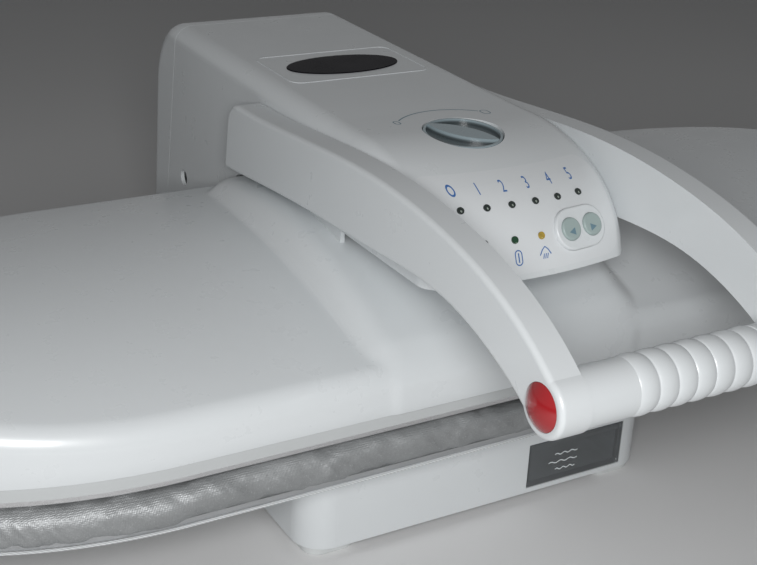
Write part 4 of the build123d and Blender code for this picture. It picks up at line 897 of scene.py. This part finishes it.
def laid(name, shapes, node, lift, front=True):
    """Lays flat shapes, in mm, on a node's surface: seen from the front, or from the top."""
    surface = surface_of(node)
    points, faces = [], []
    away = 0.4
    aim = Vector((0, 1, 0)) if front else Vector((0, 0, -1))
    for shape_points, shape_faces in shapes:
        start = len(points)
        for across, up in shape_points * MM:
            origin = Vector((across, -away, up)) if front else Vector((across, up, away))
            place, normal, _, _ = surface.ray_cast(origin, aim)
            if place is None:
                raise RuntimeError(f"{name} misses the surface of {node}")
            outward = normal if normal.dot(aim) < 0 else -normal
            points.append(place + outward * lift)
        for face in shape_faces:
            corners = [points[start + i] for i in face]
            turned = (corners[1] - corners[0]).cross(corners[2] - corners[0]).dot(aim) > 0
            face = [start + i for i in face]
            faces.append(tuple(reversed(face)) if turned else tuple(face))
    return mesh_from(name, points, faces)


class PRESS_OT_signs(bpy.types.Operator):
    """Prints the signs beside the lamps, keys and dial, and raises the line round the badge"""

    bl_idname = "press.signs"
    bl_label = "Signs"

    def execute(self, context):
        ink = printed_ink("sign_ink", colours().ink)
        signs = laid("panel_signs", self.panel_shapes(), "control_panel", 0.10 * MM)
        add_piece("panel_signs", signs, "head", ink)
        arc_ink = printed_ink("arc_ink", colours().arc_ink)
        signs = laid("dial_arc", self.dial_shapes(), "control_housing", 0.05 * MM, front=False)
        add_piece("dial_arc", signs, "head", arc_ink)
        for key, side in (("key_left", -1), ("key_right", 1)):
            corners = np.array([(-1.9 * side, 1.7), (-1.9 * side, -1.7), (2.2 * side, 0.0)])
            arrow = moved((corners, [(0, 1, 2)]), *front_middle(key))
            sign = laid(key + "_sign", [arrow], key, 0.05 * MM)
            add_piece(key + "_sign", sign, key, arc_ink)
        white = moulded_plastic("badge_line_plastic", colours().white_plastic, 0.30, 0.004)
        border = moved(ribbon(rounded_box(46, 28, 7), 1.3, True), 0, badge_middle_y)
        line = laid("badge_line", [border], "control_housing", 0.28 * MM, front=False)
        add_piece("badge_line", thickened(line, 0.4 * MM), "head", white, 40)
        return {"FINISHED"}

    def panel_shapes(self):
        """Ring and numbers over the upper lamps, small signs under the lower ones."""
        ring = ribbon(arc(1.7, 0, 360, 28)[:-1], 0.7, True)
        shapes = [moved(ring, lamp_x(0), zero_z)]
        for index in range(1, lamp_count):
            shapes.append(moved(numeral(str(index), 4.2), lamp_x(index), number_z))
        ready = rounded_box(1.9, 3.4, 1.8)
        shapes.append(moved(ribbon(ready, 0.55, True), *ready_sign))
        shapes.append(moved(ribbon([(0, -2.2), (0, 0), (0, 2.2)], 0.7), *ready_sign))
        roof = [(-3.4, -0.8), (-1.8, 1.6), (0, 3.0), (1.8, 1.6), (3.4, -0.8)]
        shapes.append(moved(ribbon(roof, 0.55), *steam_sign))
        for across in (-1.2, 0.0, 1.2):
            stroke = [(across - 0.4, -2.6), (across, -1.4), (across + 0.4, -0.2)]
            shapes.append(moved(ribbon(stroke, 0.5), *steam_sign))
        return shapes

    def dial_shapes(self):
        """A thin arc behind the dial, with a small sign at each end."""
        shapes = [moved(ribbon(arc(arc_radius, 47, 133, 60), 0.8), *arc_centre)]
        small, large = rounded_box(1.5, 2.6, 1.4), rounded_box(2.2, 3.4, 2.0)
        for sign, angle in ((small, 139), (large, 41)):
            across, along = arc(arc_radius, angle, angle, 1)[0]
            shapes.append(moved(ribbon(sign, 0.6, True), arc_centre[0] + across, arc_centre[1] + along))
        return shapes


class PRESS_OT_lamp_tips(bpy.types.Operator):
    """Sets a painted highlight on each lamp's lens: a small pale disc in place of the glint of light on
    it
    """

    bl_idname = "press.lamp_tips"
    bl_label = "Painted lamp highlights"

    def execute(self, context):
        # painted highlight: pale discs on the lenses stand in for the glint that light leaves on them
        row = [moved(disc(0.45, 16), lamp_x(index), lamp_row_z) for index in range(lamp_count)]
        self.tips("indicator_leds", row, (0.30, 0.34, 0.30))
        for lamp, colour, radius in (("green_led", (0.55, 0.80, 0.50), 0.6),
                                     ("amber_led", (0.95, 0.85, 0.45), 0.75),
                                     ("dark_led", (0.28, 0.30, 0.28), 0.45)):
            self.tips(lamp, [moved(disc(radius, 20), *front_middle(lamp))], colour)
        return {"FINISHED"}

    def tips(self, lamp, shapes, colour):
        tips = laid(lamp + "_tips", shapes, lamp, 0.04 * MM)
        add_piece(lamp + "_tips", tips, "head", clear_lens(lamp + "_tip", colour, 0.3))


class PRESS_OT_tank_marks(bpy.types.Operator):
    """Prints the water level marks on the tank's front"""

    bl_idname = "press.tank_marks"
    bl_label = "Tank marks"

    def execute(self, context):
        shapes = []
        run = np.linspace(0, 1, 40)
        for level, start, end in tank_mark_lines:
            swing = 0.55 * np.sin(run * 6 * math.pi)
            shapes.append(ribbon(np.stack([start + (end - start) * run, level + swing], 1), 0.6))
        white = printed_ink("mark_ink", (0.70, 0.74, 0.75))
        marks = laid("tank_marks", shapes, "water_tank", 0.05 * MM)
        add_piece("tank_marks", marks, "water_tank", white)
        return {"FINISHED"}


# Finishes of the pieces that stay as the construction made them
class PRESS_OT_finishes(bpy.types.Operator):
    """Gives every piece of the construction its finish"""

    bl_idname = "press.finishes"
    bl_label = "Finishes"

    def execute(self, context):
        tint = colours()
        white = moulded_plastic("white_plastic_shell", tint.white_plastic, 0.31, 0.010, 0.2)
        finishes = {
            "white_plastic": white,
            "panel_plastic": moulded_plastic("panel_skin", tint.panel_plastic, 0.36, 0.004),
            "pale_grey_plastic": moulded_plastic("band_plastic", tint.pale_grey_plastic, 0.42, 0.012),
            "grey_plastic": moulded_plastic("grey_plastic_skin", tint.grey_plastic, 0.45, 0.02),
            "foot_rubber": rubber("foot_rubber_skin", (0.60, 0.62, 0.62)),
            "hose_rubber": rubber("hose_rubber_skin", (0.16, 0.16, 0.16)),
            "zinc_steel": plated_metal("zinc_plate", (0.62, 0.63, 0.64), 0.32, 0.004),
            "tray_steel": plated_metal("tray_plate", (0.55, 0.56, 0.57), 0.38, 0.006),
            "bright_steel": plated_metal("bright_steel_skin", (0.70, 0.70, 0.70), 0.18, 0.002),
            "spring_steel": plated_metal("spring_wire", (0.35, 0.35, 0.36), 0.30, 0.003),
            "plate_metal": plated_metal("hot_plate", (0.72, 0.72, 0.73), 0.30, 0.010),
            "bush_brass": plated_metal("bush_bronze", (0.62, 0.43, 0.20), 0.35, 0.003),
            "silver_cloth": silver_fabric("silver_fabric_hem", tint.silver_cloth),
            "pad_foam": foam("pad_foam_skin", (0.70, 0.66, 0.55)),
            "pump_plastic": moulded_plastic("pump_skin", (0.70, 0.68, 0.62), 0.5, 0.02),
            "circuit_board": circuit("board_lacquer", (0.02, 0.14, 0.06)),
            "tank_plastic": smoked_plastic("tank_smoke", tint.tank),
            "lamp_amber": clear_lens("amber_lens", tint.amber_lamp, 0.2),
            "lamp_green": clear_lens("green_lens", tint.green_lamp, 0.15),
            "lamp_dark": clear_lens("dark_lens", tint.dark_lamp, 0.15),
            "badge_black": moulded_plastic("badge_gloss", tint.badge, 0.25, 0.001, shine=0.02),
            "grip_plastic": white,
            "dial_plastic": scooped_plastic("dial_skin", tint.dial),
            "key_plastic": moulded_plastic("key_skin", tint.keys, 0.40, 0.010),
            "button_red": moulded_plastic("button_gloss", tint.button, 0.16, 0.002, 0.5),
        }
        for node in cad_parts.values():
            for place in node.material_slots:
                place.material = finishes[place.material.name.split(".")[0]]
        return {"FINISHED"}


# Floor, lamps and camera, which stands where the photo was taken from
floor_radius = 7.0
lamp_aim = Vector((0, -0.02, 0.12))
softboxes = (                   # name, place, side in metres and power in watts
    ("key_softbox", (-0.45, -0.74, 0.49), 0.26, 5.3),
    ("top_softbox", (-0.25, 0.35, 1.6), 1.2, 0.45),
    ("right_softbox", (1.5, -0.5, 0.8), 0.9, 0.5),
)
surround_level = 0.075
surround_seen_level = 0.36
camera_place = Vector((-387.78, -624.32, 423.06)) * MM
camera_right = Vector((0.868997, -0.492943, 0.043032))
camera_down = Vector((-0.163629, -0.368349, -0.915175))
camera_forward = Vector((0.46698, 0.788243, -0.400754))
photo_width = 757
focal_pixels = 1356.64


class PRESS_OT_stage(bpy.types.Operator):
    """Lays the pale floor and sets the soft lamps and the camera"""

    bl_idname = "press.stage"
    bl_label = "Floor, lamps and camera"

    def execute(self, context):
        self.floor()
        for softbox in softboxes:
            self.lamp(*softbox)
        self.sky()
        self.camera(context)
        context.scene.view_settings.view_transform = "Standard"
        return {"FINISHED"}

    def floor(self):
        mesh = bpy.data.meshes.new("floor")
        with edited(mesh) as work:
            bmesh.ops.create_circle(work, cap_ends=True, segments=96, radius=floor_radius)
        finish = Finish("floor_paper", Roughness=0.85, Specular_IOR_Level=0.2)
        tone = finish.noise(1.2, 2.0)
        finish.set("Base Color", finish.mix(tone, (0.80, 0.80, 0.80, 1), (0.83, 0.83, 0.83, 1)))
        mesh.materials.append(finish.material)
        floor = bpy.data.objects.new("floor", mesh)
        bpy.context.scene.collection.objects.link(floor)

    def lamp(self, name, place, side, power):
        light = bpy.data.lights.new(name, "AREA")
        light.shape = "SQUARE"
        light.size = side
        light.energy = power
        lamp = bpy.data.objects.new(name, light)
        lamp.location = place
        aim = lamp_aim - Vector(place)
        lamp.rotation_euler = aim.to_track_quat("-Z", "Y").to_euler()
        bpy.context.scene.collection.objects.link(lamp)

    def sky(self):
        """An even pale surround, brighter where the camera, gloss or glass sees it."""
        world = bpy.data.worlds.new("surround")
        bpy.context.scene.world = world
        world.use_nodes = True
        network = Network(world.node_tree)
        background = network.tree.nodes["Background"]
        background.inputs["Color"].default_value = (0.86, 0.87, 0.88, 1)
        seen = network.node("ShaderNodeLightPath", output="Is Camera Ray")
        for kind in ("Is Glossy Ray", "Is Transmission Ray"):
            seen = network.math("MAXIMUM", seen, network.node("ShaderNodeLightPath", output=kind))
        level = network.node("ShaderNodeMapRange", values={
            "To Min": surround_level, "To Max": surround_seen_level, "Value": seen})
        network.feed(background.inputs["Strength"], level)

    def camera(self, context):
        view = bpy.data.cameras.new("photo_view")
        view.sensor_width = 36.0
        view.lens = focal_pixels * view.sensor_width / photo_width
        camera = bpy.data.objects.new("photo_view", view)
        turn = Matrix((camera_right, -camera_down, -camera_forward)).transposed()
        camera.matrix_world = Matrix.Translation(camera_place) @ turn.to_4x4()
        context.scene.collection.objects.link(camera)
        context.scene.camera = camera


operators = (
    PRESS_OT_finishes,
    PRESS_OT_wing,
    PRESS_OT_padded_cover,
    PRESS_OT_grip,
    PRESS_OT_signs,
    PRESS_OT_lamp_tips,
    PRESS_OT_tank_marks,
    PRESS_OT_stage,
)


class PRESS_PT_panel(bpy.types.Panel):
    """Lists the pieces of the press and their colours"""

    bl_idname = "PRESS_PT_panel"
    bl_label = "Steam press"
    bl_space_type = "VIEW_3D"
    bl_region_type = "UI"
    bl_category = "Press"

    def draw(self, context):
        for operator in operators:
            self.layout.operator(operator.bl_idname)
        for group in (context.scene.press_colours, context.scene.press_sizes):
            for name in group.bl_rna.properties.keys():
                if name not in ("rna_type", "name"):
                    self.layout.prop(group, name)


classes = (PressColours, PressSizes, *operators, PRESS_PT_panel)


def register():
    for entry in classes:
        bpy.utils.register_class(entry)
    bpy.types.Scene.press_colours = bpy.props.PointerProperty(type=PressColours)
    bpy.types.Scene.press_sizes = bpy.props.PointerProperty(type=PressSizes)


def unregister():
    del bpy.types.Scene.press_sizes
    del bpy.types.Scene.press_colours
    for entry in reversed(classes):
        bpy.utils.unregister_class(entry)


def main():
    register()
    for operator in operators:
        group, name = operator.bl_idname.split(".")
        getattr(getattr(bpy.ops, group), name)()


if __name__ == "__main__":
    main()
